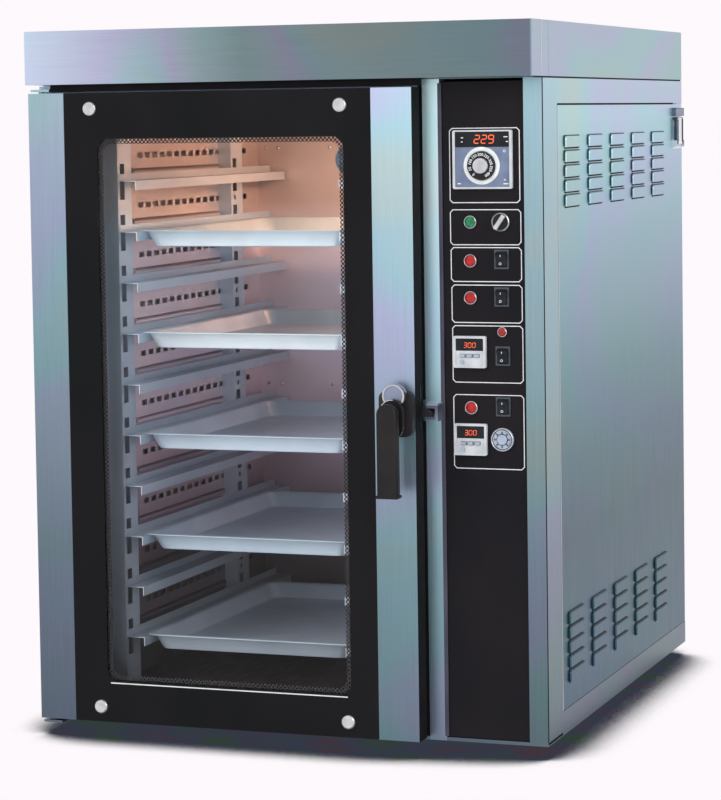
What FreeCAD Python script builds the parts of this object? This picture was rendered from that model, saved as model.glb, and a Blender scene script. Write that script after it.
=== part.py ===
import FreeCAD, Part
import math
import os

# Convection oven with a fixed rack of ten tray levels, a side-hung glass door
# and a column of controls.  Millimetres, +Z up, +X to the right of somebody
# who faces the door, +Y towards the back.  Depths are measured here from the
# front plane of the cabinet, and every finished solid is then moved so that
# the origin lies on the floor at the centre of the footprint.

V = FreeCAD.Vector
X_AXIS = V(1, 0, 0)
Y_AXIS = V(0, 1, 0)
Z_AXIS = V(0, 0, 1)

# ---- driving dimensions ----------------------------------------------------
CABINET_W = 930.0
CABINET_D = 1000.0
FOOT_H = 25.0
CABINET_TOP = 1157.0
HOOD_H = 96.0
HOOD_FRONT = -56.0
HOOD_SEAM = 40.0
HOOD_REAR = 1000.0
HOOD_LIFT = 2.0
SHEET = 1.2
INSULATION_T = 40.0

LEFT = -CABINET_W / 2
RIGHT = CABINET_W / 2
FLOOR = FOOT_H
SIDE_BAND = 42.0
TOP_BAND = 45.0

TRAY_CENTRE_X = -94.0
TRAY_W = 400.0
TRAY_L = 600.0
TRAY_H = 30.0
TRAY_FRONT = 30.0
LEVELS = 10
LEVEL_PITCH = 90.5
TOP_LEVEL_Z = 988.0
TRAY_LEVELS = (2, 4, 6, 8, 10)

CAVITY_W = 502.0
CAVITY_LEFT = TRAY_CENTRE_X - CAVITY_W / 2
CAVITY_RIGHT = TRAY_CENTRE_X + CAVITY_W / 2
CAVITY_BACK = 740.0
CAVITY_FLOOR = 88.0
CAVITY_CEILING = 1090.0
LEFT_DUCT = 52.0
RIGHT_DUCT = 105.0
REAR_DUCT = 50.0
LINER_LEFT = CAVITY_LEFT - LEFT_DUCT
LINER_RIGHT = CAVITY_RIGHT + RIGHT_DUCT
LINER_BACK = CAVITY_BACK + REAR_DUCT
MOTOR_X0 = LINER_RIGHT + SHEET + 37

FRAME_DEPTH = 40.0
OPENING_LEFT = CAVITY_LEFT - SHEET
OPENING_RIGHT = CAVITY_RIGHT + SHEET
OPENING_BOTTOM = CAVITY_FLOOR - SHEET
OPENING_TOP = CAVITY_CEILING + SHEET
SEAL_OUT = 30.0
SEAL_W = 10.0

STRIP_LEFT = 253.0
STRIP_RIGHT = 284.0
PANEL_LEFT = 288.0
PANEL_RIGHT = 432.0
PANEL_RECESS = 3.0
POST_SIDE = 90.0

DOOR_LEFT = -464.0
DOOR_RIGHT = 250.0
DOOR_BOTTOM = 30.0
DOOR_TOP = 1144.0
DOOR_FRONT = -47.0
DOOR_BACK = -8.0
GLASS_LEFT = -395.0
GLASS_RIGHT = 177.0
WINDOW_LEFT = -345.0
WINDOW_RIGHT = 140.0
WINDOW_BOTTOM = 92.0
WINDOW_TOP = 1076.0
HINGE_X = -449.0
HINGE_Y = -25.0
HINGE_PIN_R = 5.0
RUNNING_GAP = 0.05

HANDLE_X = 221.0
HANDLE_Z = 625.0
SPINDLE_R = 7.0
TONGUE_Z = 591.0

FAN_Y = 370.0
FAN_Z = 590.0
FAN_R = 150.0
SHAFT_R = 7.0

POST_FRONT_Y = 6.0
POST_REAR_Y = 530.0
POST_WIDTH = 58.0
POST_DEPTH = 27.0
RAIL_WIDTH = 33.0

# ---- controls: (x, z) of each centre ----------------------------------------
CONTROLLER_AT = (360.0, 1020.5)
CONTROLLER_SIZE = (104.5, 99.0)
DIAL_AT = (359.0, 1010.0)
STEAM_TIMER_AT = (334.0, 695.0)
BAKE_TIMER_AT = (334.0, 546.0)
TIMER_SIZE = (57.0, 54.0)
ROCKERS_AT = {
    "fan_rocker": (390.8, 852.0),
    "lamp_rocker": (390.4, 788.5),
    "steam_rocker": (391.4, 688.5),
    "timer_rocker": (391.0, 602.5),
}
ROCKER_BEZEL = (25.5, 32.7)
ROCKER_TURN = 10.0
PILOT_LAMPS = (
    (336.6, 915.0, 11.4),
    (336.0, 849.5, 11.6),
    (335.6, 786.8, 11.6),
    (391.0, 729.3, 8.8),
    (335.0, 600.0, 11.6),
)
SELECTOR_AT = (390.2, 915.0)
BUZZER_AT = (389.4, 546.8)

# ---- rear connections: (x, z) ------------------------------------------------
FLUE_AT = (-150.0, 1010.0)
FLUE_R = 30.0
FLUE_REACH = 50.0
INLET_AT = (340.0, 300.0)
INLET_R = 13.0
INLET_REACH = 30.0
GLAND_AT = (400.0, 180.0)
GLAND_BORE_R = 9.0
GLAND_REACH = 26.0

GRIP_FRONT = -118.0
CENTRE_Y = (GRIP_FRONT + CABINET_D + FLUE_REACH) / 2

nodes = {}


# ---- small helpers -----------------------------------------------------------
def box(x0, x1, y0, y1, z0, z1):
    return Part.makeBox(x1 - x0, y1 - y0, z1 - z0, V(x0, y0, z0))


def rod_x(x0, x1, y, z, r):
    return Part.makeCylinder(r, x1 - x0, V(x0, y, z), X_AXIS)


def rod_y(y0, y1, x, z, r):
    return Part.makeCylinder(r, y1 - y0, V(x, y0, z), Y_AXIS)


def rod_z(z0, z1, x, y, r):
    return Part.makeCylinder(r, z1 - z0, V(x, y, z0), Z_AXIS)


def fused(first, *others):
    return first.fuse(list(others)).removeSplitter() if others else first


def folded(x0, x1, y0, y1, z0, z1, open_side, wall=SHEET):
    """A sheet box with one open side, such as '+y' or '-z'."""
    low = [x0 + wall, y0 + wall, z0 + wall]
    high = [x1 - wall, y1 - wall, z1 - wall]
    index = "xyz".index(open_side[1])
    if open_side[0] == "+":
        high[index] += 2 * wall
    else:
        low[index] -= 2 * wall
    hollow = box(low[0], high[0], low[1], high[1], low[2], high[2])
    return box(x0, x1, y0, y1, z0, z1).cut(hollow)


def round_rectangle(x0, x1, y0, y1, z, r):
    """A closed outline in a level plane, with round corners."""
    k = r * (1 - math.sqrt(0.5))
    lines = [
        Part.LineSegment(V(x0 + r, y0, z), V(x1 - r, y0, z)),
        Part.Arc(V(x1 - r, y0, z), V(x1 - k, y0 + k, z), V(x1, y0 + r, z)),
        Part.LineSegment(V(x1, y0 + r, z), V(x1, y1 - r, z)),
        Part.Arc(V(x1, y1 - r, z), V(x1 - k, y1 - k, z), V(x1 - r, y1, z)),
        Part.LineSegment(V(x1 - r, y1, z), V(x0 + r, y1, z)),
        Part.Arc(V(x0 + r, y1, z), V(x0 + k, y1 - k, z), V(x0, y1 - r, z)),
        Part.LineSegment(V(x0, y1 - r, z), V(x0, y0 + r, z)),
        Part.Arc(V(x0, y0 + r, z), V(x0 + k, y0 + k, z), V(x0 + r, y0, z)),
    ]
    return Part.Wire([line.toShape() for line in lines])


def round_block(x0, x1, y0, y1, z0, z1, r):
    outline = Part.Face(round_rectangle(x0, x1, y0, y1, z0, r))
    return outline.extrude(V(0, 0, z1 - z0))


def prism_x(points, x0, x1):
    """A (y, z) outline drawn out along X."""
    corners = [V(x0, y, z) for y, z in points]
    outline = Part.makePolygon(corners + corners[:1])
    return Part.Face(outline).extrude(V(x1 - x0, 0, 0))


def prism_y(points, y0, y1):
    """An (x, z) outline drawn out along Y."""
    corners = [V(x, y0, z) for x, z in points]
    outline = Part.makePolygon(corners + corners[:1])
    return Part.Face(outline).extrude(V(0, y1 - y0, 0))


def mirrored_in_x(shape, x):
    return shape.mirror(V(x, 0, 0), X_AXIS)


def node(name, *solids):
    nodes[name] = list(solids)


def level_z(level):
    return TOP_LEVEL_Z - LEVEL_PITCH * (level - 1)


# ---- base, feet and frame -----------------------------------------------------
FOOT_PLACES = [(sx * 330.0, y) for sx in (-1, 1) for y in (140.0, 860.0)]
FOOT_STUD_R = 6.0


def make_base_pan():
    rear = CABINET_D
    pan = fused(
        box(LEFT, RIGHT, FRAME_DEPTH + SHEET, rear, FLOOR, FLOOR + 2),
        box(STRIP_RIGHT, RIGHT, 0, FRAME_DEPTH + SHEET, FLOOR, FLOOR + 2),
        box(STRIP_RIGHT, RIGHT, 0, SHEET, FLOOR, FLOOR + 6),
        box(LEFT, LEFT + SHEET, FRAME_DEPTH + SHEET, rear, FLOOR, FLOOR + SIDE_BAND),
        box(RIGHT - SHEET, RIGHT, POST_SIDE, rear, FLOOR, FLOOR + SIDE_BAND),
        box(LEFT, RIGHT, rear - SHEET, rear, FLOOR, FLOOR + SIDE_BAND),
    )
    for x, y in FOOT_PLACES:
        pan = pan.cut(rod_z(FLOOR - 1, FLOOR + 3, x, y, FOOT_STUD_R))
    node("base_pan", pan)


def make_feet():
    feet = []
    for x, y in FOOT_PLACES:
        pad = Part.makeCone(24, 20, 10, V(x, y, 0), Z_AXIS)
        nut = rod_z(16, FLOOR, x, y, 11)
        stud = rod_z(8, FLOOR + 14, x, y, FOOT_STUD_R)
        feet.append(fused(pad, nut, stud))
    node("levelling_feet", *feet)


def make_frame_members():
    top = CABINET_TOP
    rear = CABINET_D
    upright_left = folded(LEFT, OPENING_LEFT, 0, FRAME_DEPTH, FLOOR, top, "+y")
    upright_right = folded(OPENING_RIGHT, STRIP_LEFT, 0, FRAME_DEPTH, FLOOR, top, "+y")
    header = folded(OPENING_LEFT, OPENING_RIGHT, 0, FRAME_DEPTH, OPENING_TOP, top, "+y")
    sill = folded(OPENING_LEFT, OPENING_RIGHT, 0, FRAME_DEPTH, FLOOR, OPENING_BOTTOM, "+y")
    side_rail_left = fused(
        box(LEFT, LEFT + SHEET, FRAME_DEPTH, rear, top - TOP_BAND, top),
        box(LEFT, LEFT + 40, FRAME_DEPTH, rear, top - SHEET, top),
    )
    side_rail_right = fused(
        box(RIGHT - SHEET, RIGHT, POST_SIDE, rear, top - TOP_BAND, top),
        box(RIGHT - 40, RIGHT, POST_SIDE, rear, top - SHEET, top),
    )
    rear_rail = fused(
        box(LEFT + 40, RIGHT - 40, rear - SHEET, rear, top - TOP_BAND, top),
        box(LEFT + 40, RIGHT - 40, rear - 40, rear, top - SHEET, top),
    )
    rear_post_left = fused(
        box(LEFT + SHEET, LEFT + 2 * SHEET, rear - 42, rear - SHEET, FLOOR + 2, top - SHEET),
        box(LEFT + SHEET, LEFT + 42, rear - 2 * SHEET, rear - SHEET, FLOOR + 2, top - SHEET),
    )
    rear_post_right = mirrored_in_x(rear_post_left, 0)
    node("frame_members", upright_left, upright_right, header, sill, side_rail_left,
         side_rail_right, rear_rail, rear_post_left, rear_post_right)


def make_front_posts():
    """The narrow jamb strip beside the door and the folded corner post."""
    strip = folded(STRIP_LEFT, STRIP_RIGHT, 0, 30, FLOOR, CABINET_TOP, "+y")
    post = fused(
        box(PANEL_RIGHT, RIGHT, 0, SHEET, FLOOR + 6, CABINET_TOP),
        box(RIGHT - SHEET, RIGHT, 0, POST_SIDE, FLOOR + 6, CABINET_TOP),
        box(PANEL_RIGHT, PANEL_RIGHT + SHEET, 0, 20, FLOOR + 6, CABINET_TOP),
    )
    node("front_posts", strip, post)


# ---- outer panels ------------------------------------------------------------
LOUVRE_L = 98.0
LOUVRE_H = 19.0
LOUVRE_OUT = 4.6
LOUVRE_PITCH_Y = 154.0
LOUVRE_PITCH_Z = 25.4
LOUVRE_ROWS = 5
LOUVRE_COLUMNS = 5
LOUVRE_FIRST_Y = 130.0
LOUVRE_TOPS = (1057.0, 232.0)


def pressed_hood(inset, x0, bottom):
    """A louvre's hood at its own origin: round upper corners and a round outer rim."""
    out = LOUVRE_OUT - inset
    block = box(x0, out, inset, LOUVRE_L - inset, bottom - 6, LOUVRE_H - inset)
    corners = [edge for edge in block.Edges
               if edge.BoundBox.XLength > 1 and edge.BoundBox.ZMin > LOUVRE_H / 2]
    block = block.makeFillet(6 - inset, corners)
    rim = [edge for edge in block.Edges
           if edge.BoundBox.XMin > out - 0.1 and edge.BoundBox.ZMax > bottom]
    block = block.makeFillet(2.6 - inset, rim)
    return block.cut(box(-9, 9, -9, LOUVRE_L + 9, bottom - 20, bottom))


def make_side_panels():
    low = FLOOR + SIDE_BAND + 1
    high = CABINET_TOP - TOP_BAND - 1
    right = box(RIGHT - SHEET, RIGHT, POST_SIDE + 1, CABINET_D - 2, low, high)
    master_hood = pressed_hood(0, 0, 0)
    master_hollow = pressed_hood(SHEET, -3, -3)
    hoods = []
    hollows = []
    for group_top in LOUVRE_TOPS:
        for column in range(LOUVRE_COLUMNS):
            for row in range(LOUVRE_ROWS):
                y = LOUVRE_FIRST_Y + LOUVRE_PITCH_Y * column
                z = group_top - LOUVRE_PITCH_Z * row - LOUVRE_H
                for master, copies in ((master_hood, hoods), (master_hollow, hollows)):
                    copy = master.copy()
                    copy.translate(V(RIGHT, y, z))
                    copies.append(copy)
    right = right.fuse(hoods).cut(hollows)
    left = box(LEFT, LEFT + SHEET, FRAME_DEPTH + SHEET, CABINET_D - 2, low, high)
    node("side_panels", left, right)


def make_rear_panel():
    low = FLOOR + SIDE_BAND + 1
    high = CABINET_TOP - TOP_BAND - 1
    panel = box(LEFT + 3, RIGHT - 3, CABINET_D - SHEET, CABINET_D, low, high)
    holes = [
        rod_y(CABINET_D - 5, CABINET_D + 5, FLUE_AT[0], FLUE_AT[1], FLUE_R),
        rod_y(CABINET_D - 5, CABINET_D + 5, INLET_AT[0], INLET_AT[1], INLET_R),
        rod_y(CABINET_D - 5, CABINET_D + 5, GLAND_AT[0], GLAND_AT[1], 12),
    ]
    for row in range(8):
        z = 560 + 22 * row
        holes.append(box(310, 430, CABINET_D - 5, CABINET_D + 5, z, z + 6))
    node("rear_panel", panel.cut(holes))


def make_hood():
    """A front cap that wraps the corners and a cover behind it, both lifted on a step."""
    low = CABINET_TOP + HOOD_LIFT
    top = CABINET_TOP + HOOD_H
    step = 8.0
    front = fused(
        folded(LEFT, RIGHT, HOOD_FRONT, HOOD_SEAM, low, top, "+y"),
        box(LEFT + step, RIGHT - step, 0, HOOD_SEAM, CABINET_TOP, low),
    )
    front = front.cut(box(LEFT + 2 * step, RIGHT - 2 * step, step, HOOD_SEAM + 1,
                          CABINET_TOP - 1, low + 2 * SHEET))
    rear = folded(LEFT, RIGHT, HOOD_SEAM + 0.8, HOOD_REAR, low, top, "-z")
    rear = rear.cut(box(LEFT + SHEET, RIGHT - SHEET, HOOD_SEAM, HOOD_SEAM + 5, low - 1,
                        top - SHEET))
    ledge = folded(LEFT + step, RIGHT - step, HOOD_SEAM + 0.8, HOOD_REAR - step, CABINET_TOP,
                   low + 10, "-z")
    ledge = ledge.cut(box(LEFT + 2 * step, RIGHT - 2 * step, HOOD_SEAM, HOOD_REAR - 2 * step,
                          low, low + 11))
    brim = box(LEFT + SHEET, RIGHT - SHEET, HOOD_REAR - 2 * step, HOOD_REAR - SHEET, low + 10 - SHEET,
               low + 10)
    brims = [box(LEFT + SHEET, LEFT + 2 * step, HOOD_SEAM + 5, HOOD_REAR - SHEET,
                 low + 10 - SHEET, low + 10),
             box(RIGHT - 2 * step, RIGHT - SHEET, HOOD_SEAM + 5, HOOD_REAR - SHEET,
                 low + 10 - SHEET, low + 10)]
    node("hood", front, rear.fuse([ledge, brim] + brims).removeSplitter())


# ---- cavity, ducts and insulation ----------------------------------------------
PROBE_AT = (200.0, 943.0)
STEAM_PIPE_AT = (300.0, 700.0)
STEAM_PIPE_R = 6.0
LAMP_AT = (60.0, 130.0)
LAMP_R = 38.0
HEATER_R = 178.0
HEATER_TUBE_R = 4.0
HEATER_XS = (192.0, 212.0, 232.0)
HEATER_LEG_TURN = 6.0


def heater_leg_places():
    places = []
    for turn in (-HEATER_LEG_TURN, HEATER_LEG_TURN):
        angle = math.radians(turn)
        y = FAN_Y + HEATER_R * math.sin(angle)
        z = FAN_Z - HEATER_R * math.cos(angle)
        places.append((y, z))
    return places


def right_wall_holes(x0, x1, spare):
    """What passes through the liner and its insulation beside the fan."""
    holes = [rod_x(x0, x1, FAN_Y, FAN_Z, SHAFT_R + 3)]
    holes.append(rod_x(x0, x1, PROBE_AT[0], PROBE_AT[1], 3 + spare))
    holes.append(rod_x(x0, x1, STEAM_PIPE_AT[0], STEAM_PIPE_AT[1], STEAM_PIPE_R + spare))
    for y, z in heater_leg_places():
        holes.append(rod_x(x0, x1, y, z, 3 * HEATER_TUBE_R))
    return holes


def make_cavity_liner():
    front = FRAME_DEPTH + 1
    left = box(LINER_LEFT - SHEET, LINER_LEFT, front, LINER_BACK, CAVITY_FLOOR, CAVITY_CEILING)
    right = box(LINER_RIGHT, LINER_RIGHT + SHEET, front, LINER_BACK, CAVITY_FLOOR, CAVITY_CEILING)
    right = right.cut(right_wall_holes(LINER_RIGHT - 5, LINER_RIGHT + 5, 0.2))
    floor = fused(
        box(LINER_LEFT - SHEET, LINER_RIGHT + SHEET, front, LINER_BACK + SHEET,
            CAVITY_FLOOR - SHEET, CAVITY_FLOOR),
        box(OPENING_LEFT, OPENING_RIGHT, 0, front, CAVITY_FLOOR - SHEET, CAVITY_FLOOR),
    )
    ceiling = fused(
        box(LINER_LEFT - SHEET, LINER_RIGHT + SHEET, front, LINER_BACK + SHEET,
            CAVITY_CEILING, CAVITY_CEILING + SHEET),
        box(OPENING_LEFT, OPENING_RIGHT, 0, front, CAVITY_CEILING, CAVITY_CEILING + SHEET),
    )
    ceiling = ceiling.cut(rod_z(CAVITY_CEILING - 5, CAVITY_CEILING + 5, LAMP_AT[0], LAMP_AT[1],
                                LAMP_R))
    back = box(LINER_LEFT - SHEET, LINER_RIGHT + SHEET, LINER_BACK, LINER_BACK + SHEET,
               CAVITY_FLOOR, CAVITY_CEILING)
    back = back.cut(rod_y(LINER_BACK - 5, LINER_BACK + 5, FLUE_AT[0], FLUE_AT[1], FLUE_R))
    node("cavity_liner", left, right, floor, ceiling, back)


AIR_HOLE = (22.0, 10.0)
AIR_HOLE_PITCH = 33.4
AIR_HOLE_FIRST_Y = 152.0
AIR_HOLES = 16
AIR_ROW_ABOVE_LEVEL = 38.0


def air_holes(x0, x1):
    holes = []
    for level in range(1, LEVELS + 1):
        z = level_z(level) + AIR_ROW_ABOVE_LEVEL
        for index in range(AIR_HOLES):
            y = AIR_HOLE_FIRST_Y + AIR_HOLE_PITCH * index
            holes.append((y, z, box(x0, x1, y, y + AIR_HOLE[0], z, z + AIR_HOLE[1])))
    return holes


def make_duct_panels():
    left = box(CAVITY_LEFT - SHEET, CAVITY_LEFT, 1, CAVITY_BACK, CAVITY_FLOOR, CAVITY_CEILING)
    left = left.cut([hole for y, z, hole in air_holes(CAVITY_LEFT - 5, CAVITY_LEFT + 5)])
    right = box(CAVITY_RIGHT, CAVITY_RIGHT + SHEET, 1, CAVITY_BACK, CAVITY_FLOOR, CAVITY_CEILING)
    outside_guard = []
    for y, z, hole in air_holes(CAVITY_RIGHT - 5, CAVITY_RIGHT + 5):
        away = math.hypot(y + AIR_HOLE[0] / 2 - FAN_Y, z + AIR_HOLE[1] / 2 - FAN_Z)
        if away > FAN_R + 45:
            outside_guard.append(hole)
    right = right.cut(outside_guard)
    right = right.cut([
        rod_x(CAVITY_RIGHT - 5, CAVITY_RIGHT + 5, FAN_Y, FAN_Z, FAN_R - 10),
        rod_x(CAVITY_RIGHT - 5, CAVITY_RIGHT + 5, PROBE_AT[0], PROBE_AT[1], 3.2),
    ])
    back = box(CAVITY_LEFT - SHEET, CAVITY_RIGHT + SHEET, CAVITY_BACK, CAVITY_BACK + SHEET,
               CAVITY_FLOOR, CAVITY_CEILING)
    back = back.cut(rod_y(CAVITY_BACK - 5, CAVITY_BACK + 5, FLUE_AT[0], FLUE_AT[1], FLUE_R))
    node("duct_panels", left, right, back)


def make_insulation():
    """Wool slabs against the liner's left, right, floor, ceiling and back."""
    front = FRAME_DEPTH + 3
    rear = LINER_BACK + SHEET + INSULATION_T
    x0 = LINER_LEFT - SHEET
    x1 = LINER_RIGHT + SHEET
    z0 = CAVITY_FLOOR - SHEET
    z1 = CAVITY_CEILING + SHEET
    left = box(x0 - INSULATION_T, x0, front, rear, z0 - INSULATION_T, z1 + INSULATION_T)
    right = box(x1, MOTOR_X0, front, LINER_BACK, CAVITY_FLOOR, CAVITY_CEILING)
    right = right.cut(right_wall_holes(LINER_RIGHT - 5, MOTOR_X0 + 5, 1))
    bottom = box(x0, x1, front, rear, z0 - INSULATION_T, z0)
    top = box(x0, x1, front, rear, z1, z1 + INSULATION_T)
    top = top.cut(rod_z(z1 - 1, z1 + 50, LAMP_AT[0], LAMP_AT[1], LAMP_R + 8))
    back = box(x0, x1, LINER_BACK + SHEET, rear, CAVITY_FLOOR, CAVITY_CEILING)
    back = back.cut(rod_y(LINER_BACK, rear + 5, FLUE_AT[0], FLUE_AT[1], FLUE_R))
    node("insulation", left, right, bottom, top, back)


# ---- rack ---------------------------------------------------------------------
def left_post(y, bridge_holes):
    x_wall = CAVITY_LEFT
    x_face = CAVITY_LEFT + POST_DEPTH
    low = CAVITY_FLOOR
    high = CAVITY_CEILING
    post = fused(
        box(x_face - SHEET, x_face, y, y + POST_WIDTH, low, high),
        box(x_wall, x_face, y, y + SHEET, low, high),
        box(x_wall, x_face, y + POST_WIDTH - SHEET, y + POST_WIDTH, low, high),
    )
    slots = []
    for level in range(1, LEVELS + 1):
        z = level_z(level)
        slots.append(box(x_face - 4, x_face + 4, y + 9, y + 29, z - 34, z + 30))
        if bridge_holes:
            slots.append(rod_x(x_face - 4, x_face + 4, y + 19, z - 46, 5))
    return post.cut(slots)


def make_tray_rack():
    """Four posts against the walls, and ten pairs of rails welded to them."""
    front = left_post(POST_FRONT_Y, False)
    rear = left_post(POST_REAR_Y, True)
    posts = [front, rear, mirrored_in_x(front, TRAY_CENTRE_X),
             mirrored_in_x(rear, TRAY_CENTRE_X)]
    x_face = CAVITY_LEFT + POST_DEPTH
    x_edge = x_face + RAIL_WIDTH
    rails = []
    for level in range(1, LEVELS + 1):
        z = level_z(level)
        rail = fused(
            box(x_face, x_face + SHEET, 10, 732, z - SHEET, z + 12),
            box(x_face, x_edge, 10, 732, z - SHEET, z),
            box(x_edge - SHEET, x_edge, 10, 732, z - 16, z),
        )
        rails.append(rail)
        rails.append(mirrored_in_x(rail, TRAY_CENTRE_X))
    node("tray_rack", *posts, *rails)


def make_tray(level):
    """A pressed tray with flared sides that hangs on its rim."""
    z = level_z(level) + 0.3
    x0 = TRAY_CENTRE_X - TRAY_W / 2
    x1 = TRAY_CENTRE_X + TRAY_W / 2
    y0 = TRAY_FRONT
    y1 = TRAY_FRONT + TRAY_L
    rim = 12.0
    slope = 11.0
    wall = 1.2

    def flare(inset, bottom, top):
        low = round_rectangle(x0 + rim + slope + inset, x1 - rim - slope - inset,
                              y0 + rim + slope + inset, y1 - rim - slope - inset, bottom, 14)
        high = round_rectangle(x0 + rim + inset, x1 - rim - inset,
                               y0 + rim + inset, y1 - rim - inset, top, 22)
        return Part.makeLoft([low, high], True, True)

    rim_plate = round_block(x0, x1, y0, y1, z, z + 2.0, 26)
    body = flare(0, z - TRAY_H + 2, z + 2)
    hollow = flare(wall, z - TRAY_H + 2 + wall, z + 3)
    return rim_plate.fuse(body).removeSplitter().cut(hollow)


def make_trays():
    for index, level in enumerate(TRAY_LEVELS):
        node("tray_%d" % (index + 1), make_tray(level))


# ---- air, heat, steam and light -------------------------------------------------
def make_fan():
    back = rod_x(244, 246, FAN_Y, FAN_Z, FAN_R - 4)
    hub = rod_x(214, 246, FAN_Y, FAN_Z, 24)
    rim = rod_x(188, 191, FAN_Y, FAN_Z, FAN_R - 4).cut(
        rod_x(187, 192, FAN_Y, FAN_Z, FAN_R - 40))
    wheel = fused(back, hub, rim)
    blades = []
    for index in range(20):
        blade = box(190, 245, FAN_Y - 1, FAN_Y + 1, FAN_Z + FAN_R - 48, FAN_Z + FAN_R - 5)
        blade.rotate(V(0, FAN_Y, FAN_Z + FAN_R - 28), X_AXIS, 28)
        blade.rotate(V(0, FAN_Y, FAN_Z), X_AXIS, 18 * index)
        blades.append(blade)
    wheel = wheel.fuse(blades).removeSplitter()
    wheel = wheel.cut(rod_x(180, 260, FAN_Y, FAN_Z, SHAFT_R))
    shaft = rod_x(206, MOTOR_X0 + 60, FAN_Y, FAN_Z, SHAFT_R)
    nut = rod_x(200, 214, FAN_Y, FAN_Z, 13).cut(rod_x(199, 215, FAN_Y, FAN_Z, SHAFT_R))
    node("fan_rotor", wheel, shaft, nut)


def make_fan_motor():
    x = MOTOR_X0
    flange = box(x, x + 4, FAN_Y - 95, FAN_Y + 95, FAN_Z - 95, FAN_Z + 95)
    can = rod_x(x + 4, x + 122, FAN_Y, FAN_Z, 66)
    cap = rod_x(x + 122, x + 132, FAN_Y, FAN_Z, 48)
    motor = fused(flange, can, cap)
    for index in range(16):
        fin = box(x + 20, x + 108, FAN_Y - 1.5, FAN_Y + 1.5, FAN_Z + 62, FAN_Z + 73)
        fin.rotate(V(0, FAN_Y, FAN_Z), X_AXIS, 22.5 * index)
        motor = motor.fuse(fin)
    bearing = rod_x(x - 1, x + 70, FAN_Y, FAN_Z, SHAFT_R + RUNNING_GAP)
    node("fan_motor", motor.cut(bearing))


def make_heater():
    rings = []
    turns = 360 - 2 * HEATER_LEG_TURN
    for x in HEATER_XS:
        ring = Part.makeTorus(HEATER_R, HEATER_TUBE_R, V(x, FAN_Y, FAN_Z), X_AXIS, -180, 180,
                              turns)
        middle = ring.CenterOfMass
        bow = math.degrees(math.atan2(middle.z - FAN_Z, middle.y - FAN_Y))
        ring.rotate(V(x, FAN_Y, FAN_Z), X_AXIS, 90 - bow)
        rings.append(ring)
    legs = []
    for y, z in heater_leg_places():
        legs.append(rod_x(HEATER_XS[0], MOTOR_X0 + 14, y, z, HEATER_TUBE_R + 1))
    element = rings[0].fuse(rings[1:] + legs)
    node("heater_element", element)


def make_fan_guard():
    """Wire rings on spokes over the fan's inlet, held to the duct panel."""
    x = CAVITY_RIGHT - 3.5
    hub = rod_x(x - 3, x + 2, FAN_Y, FAN_Z, 16)
    spokes = []
    for index in range(8):
        spoke = box(x, x + 3.5, FAN_Y - 2, FAN_Y + 2, FAN_Z + 10, FAN_Z + FAN_R + 6)
        spoke.rotate(V(x, FAN_Y, FAN_Z), X_AXIS, 45 * index)
        spokes.append(spoke)
    guard = hub.fuse(spokes)
    for r in (42, 68, 94, 120, FAN_R):
        guard = guard.fuse(Part.makeTorus(r, 2.0, V(x, FAN_Y, FAN_Z), X_AXIS))
    node("fan_guard", guard)


def make_lamp():
    x, y = LAMP_AT
    top = CAVITY_CEILING
    cup = fused(
        rod_z(top, top + 42, x, y, LAMP_R),
        rod_z(top + SHEET, top + SHEET + 2, x, y, LAMP_R + 7),
    )
    cup = cup.cut(rod_z(top - 1, top + 38, x, y, LAMP_R - 3))
    bulb = fused(
        rod_z(top + 22, top + 38, x, y, 9),
        Part.makeSphere(13, V(x, y, top + 15)),
    )
    node("cavity_lamp", cup, bulb)
    lens = rod_z(top - 4, top, x, y, LAMP_R + 6)
    node("lamp_lens", lens)


def pipe(points, r):
    """Straight tubes along the points, with a ball at each bend."""
    pieces = []
    for start, end in zip(points, points[1:]):
        run = end.sub(start)
        pieces.append(Part.makeCylinder(r, run.Length, start, run))
    for point in points[1:-1]:
        pieces.append(Part.makeSphere(r, point))
    return pieces[0].fuse(pieces[1:])


def make_steam():
    y, z = STEAM_PIPE_AT
    x_run = MOTOR_X0 + 24
    valve_y = CABINET_D - 90
    tube = pipe([V(LINER_RIGHT - 8, y, z), V(x_run, y, z), V(x_run, valve_y, z),
                 V(x_run, valve_y, INLET_AT[1] + 40)], STEAM_PIPE_R)
    inlet_x, inlet_z = INLET_AT
    valve = fused(
        box(inlet_x - 24, inlet_x + 24, valve_y - 26, valve_y + 26, inlet_z - 22, inlet_z + 22),
        rod_z(inlet_z, inlet_z + 40, x_run, valve_y, 10),
        rod_z(inlet_z - 66, inlet_z - 20, inlet_x, valve_y, 20),
        rod_y(valve_y, CABINET_D + INLET_REACH, inlet_x, inlet_z, INLET_R),
        rod_y(CABINET_D, CABINET_D + 5, inlet_x, inlet_z, INLET_R + 8),
    )
    bore = rod_y(valve_y + 40, CABINET_D + INLET_REACH + 1, inlet_x, inlet_z, INLET_R - 4)
    node("steam_injector", valve.cut(bore), tube)


def make_flue():
    x, z = FLUE_AT
    outside = rod_y(CAVITY_BACK, CABINET_D + FLUE_REACH, x, z, FLUE_R)
    collar = rod_y(CABINET_D, CABINET_D + 2, x, z, FLUE_R + 12)
    bore = rod_y(CAVITY_BACK - 1, CABINET_D + FLUE_REACH + 1, x, z, FLUE_R - 1.5)
    node("flue_pipe", fused(outside, collar).cut(bore))


def make_gland():
    x, z = GLAND_AT
    gland = fused(
        rod_y(CABINET_D - 14, CABINET_D + GLAND_REACH, x, z, 12),
        prism_y(hexagon(x, z, 16), CABINET_D, CABINET_D + 6),
        prism_y(hexagon(x, z, 14.5), CABINET_D + 12, CABINET_D + GLAND_REACH - 2),
        prism_y(hexagon(x, z, 16), CABINET_D - 8, CABINET_D - SHEET),
    )
    bore = rod_y(CABINET_D - 15, CABINET_D + GLAND_REACH + 1, x, z, GLAND_BORE_R)
    node("cable_gland", gland.cut(bore))


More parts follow.
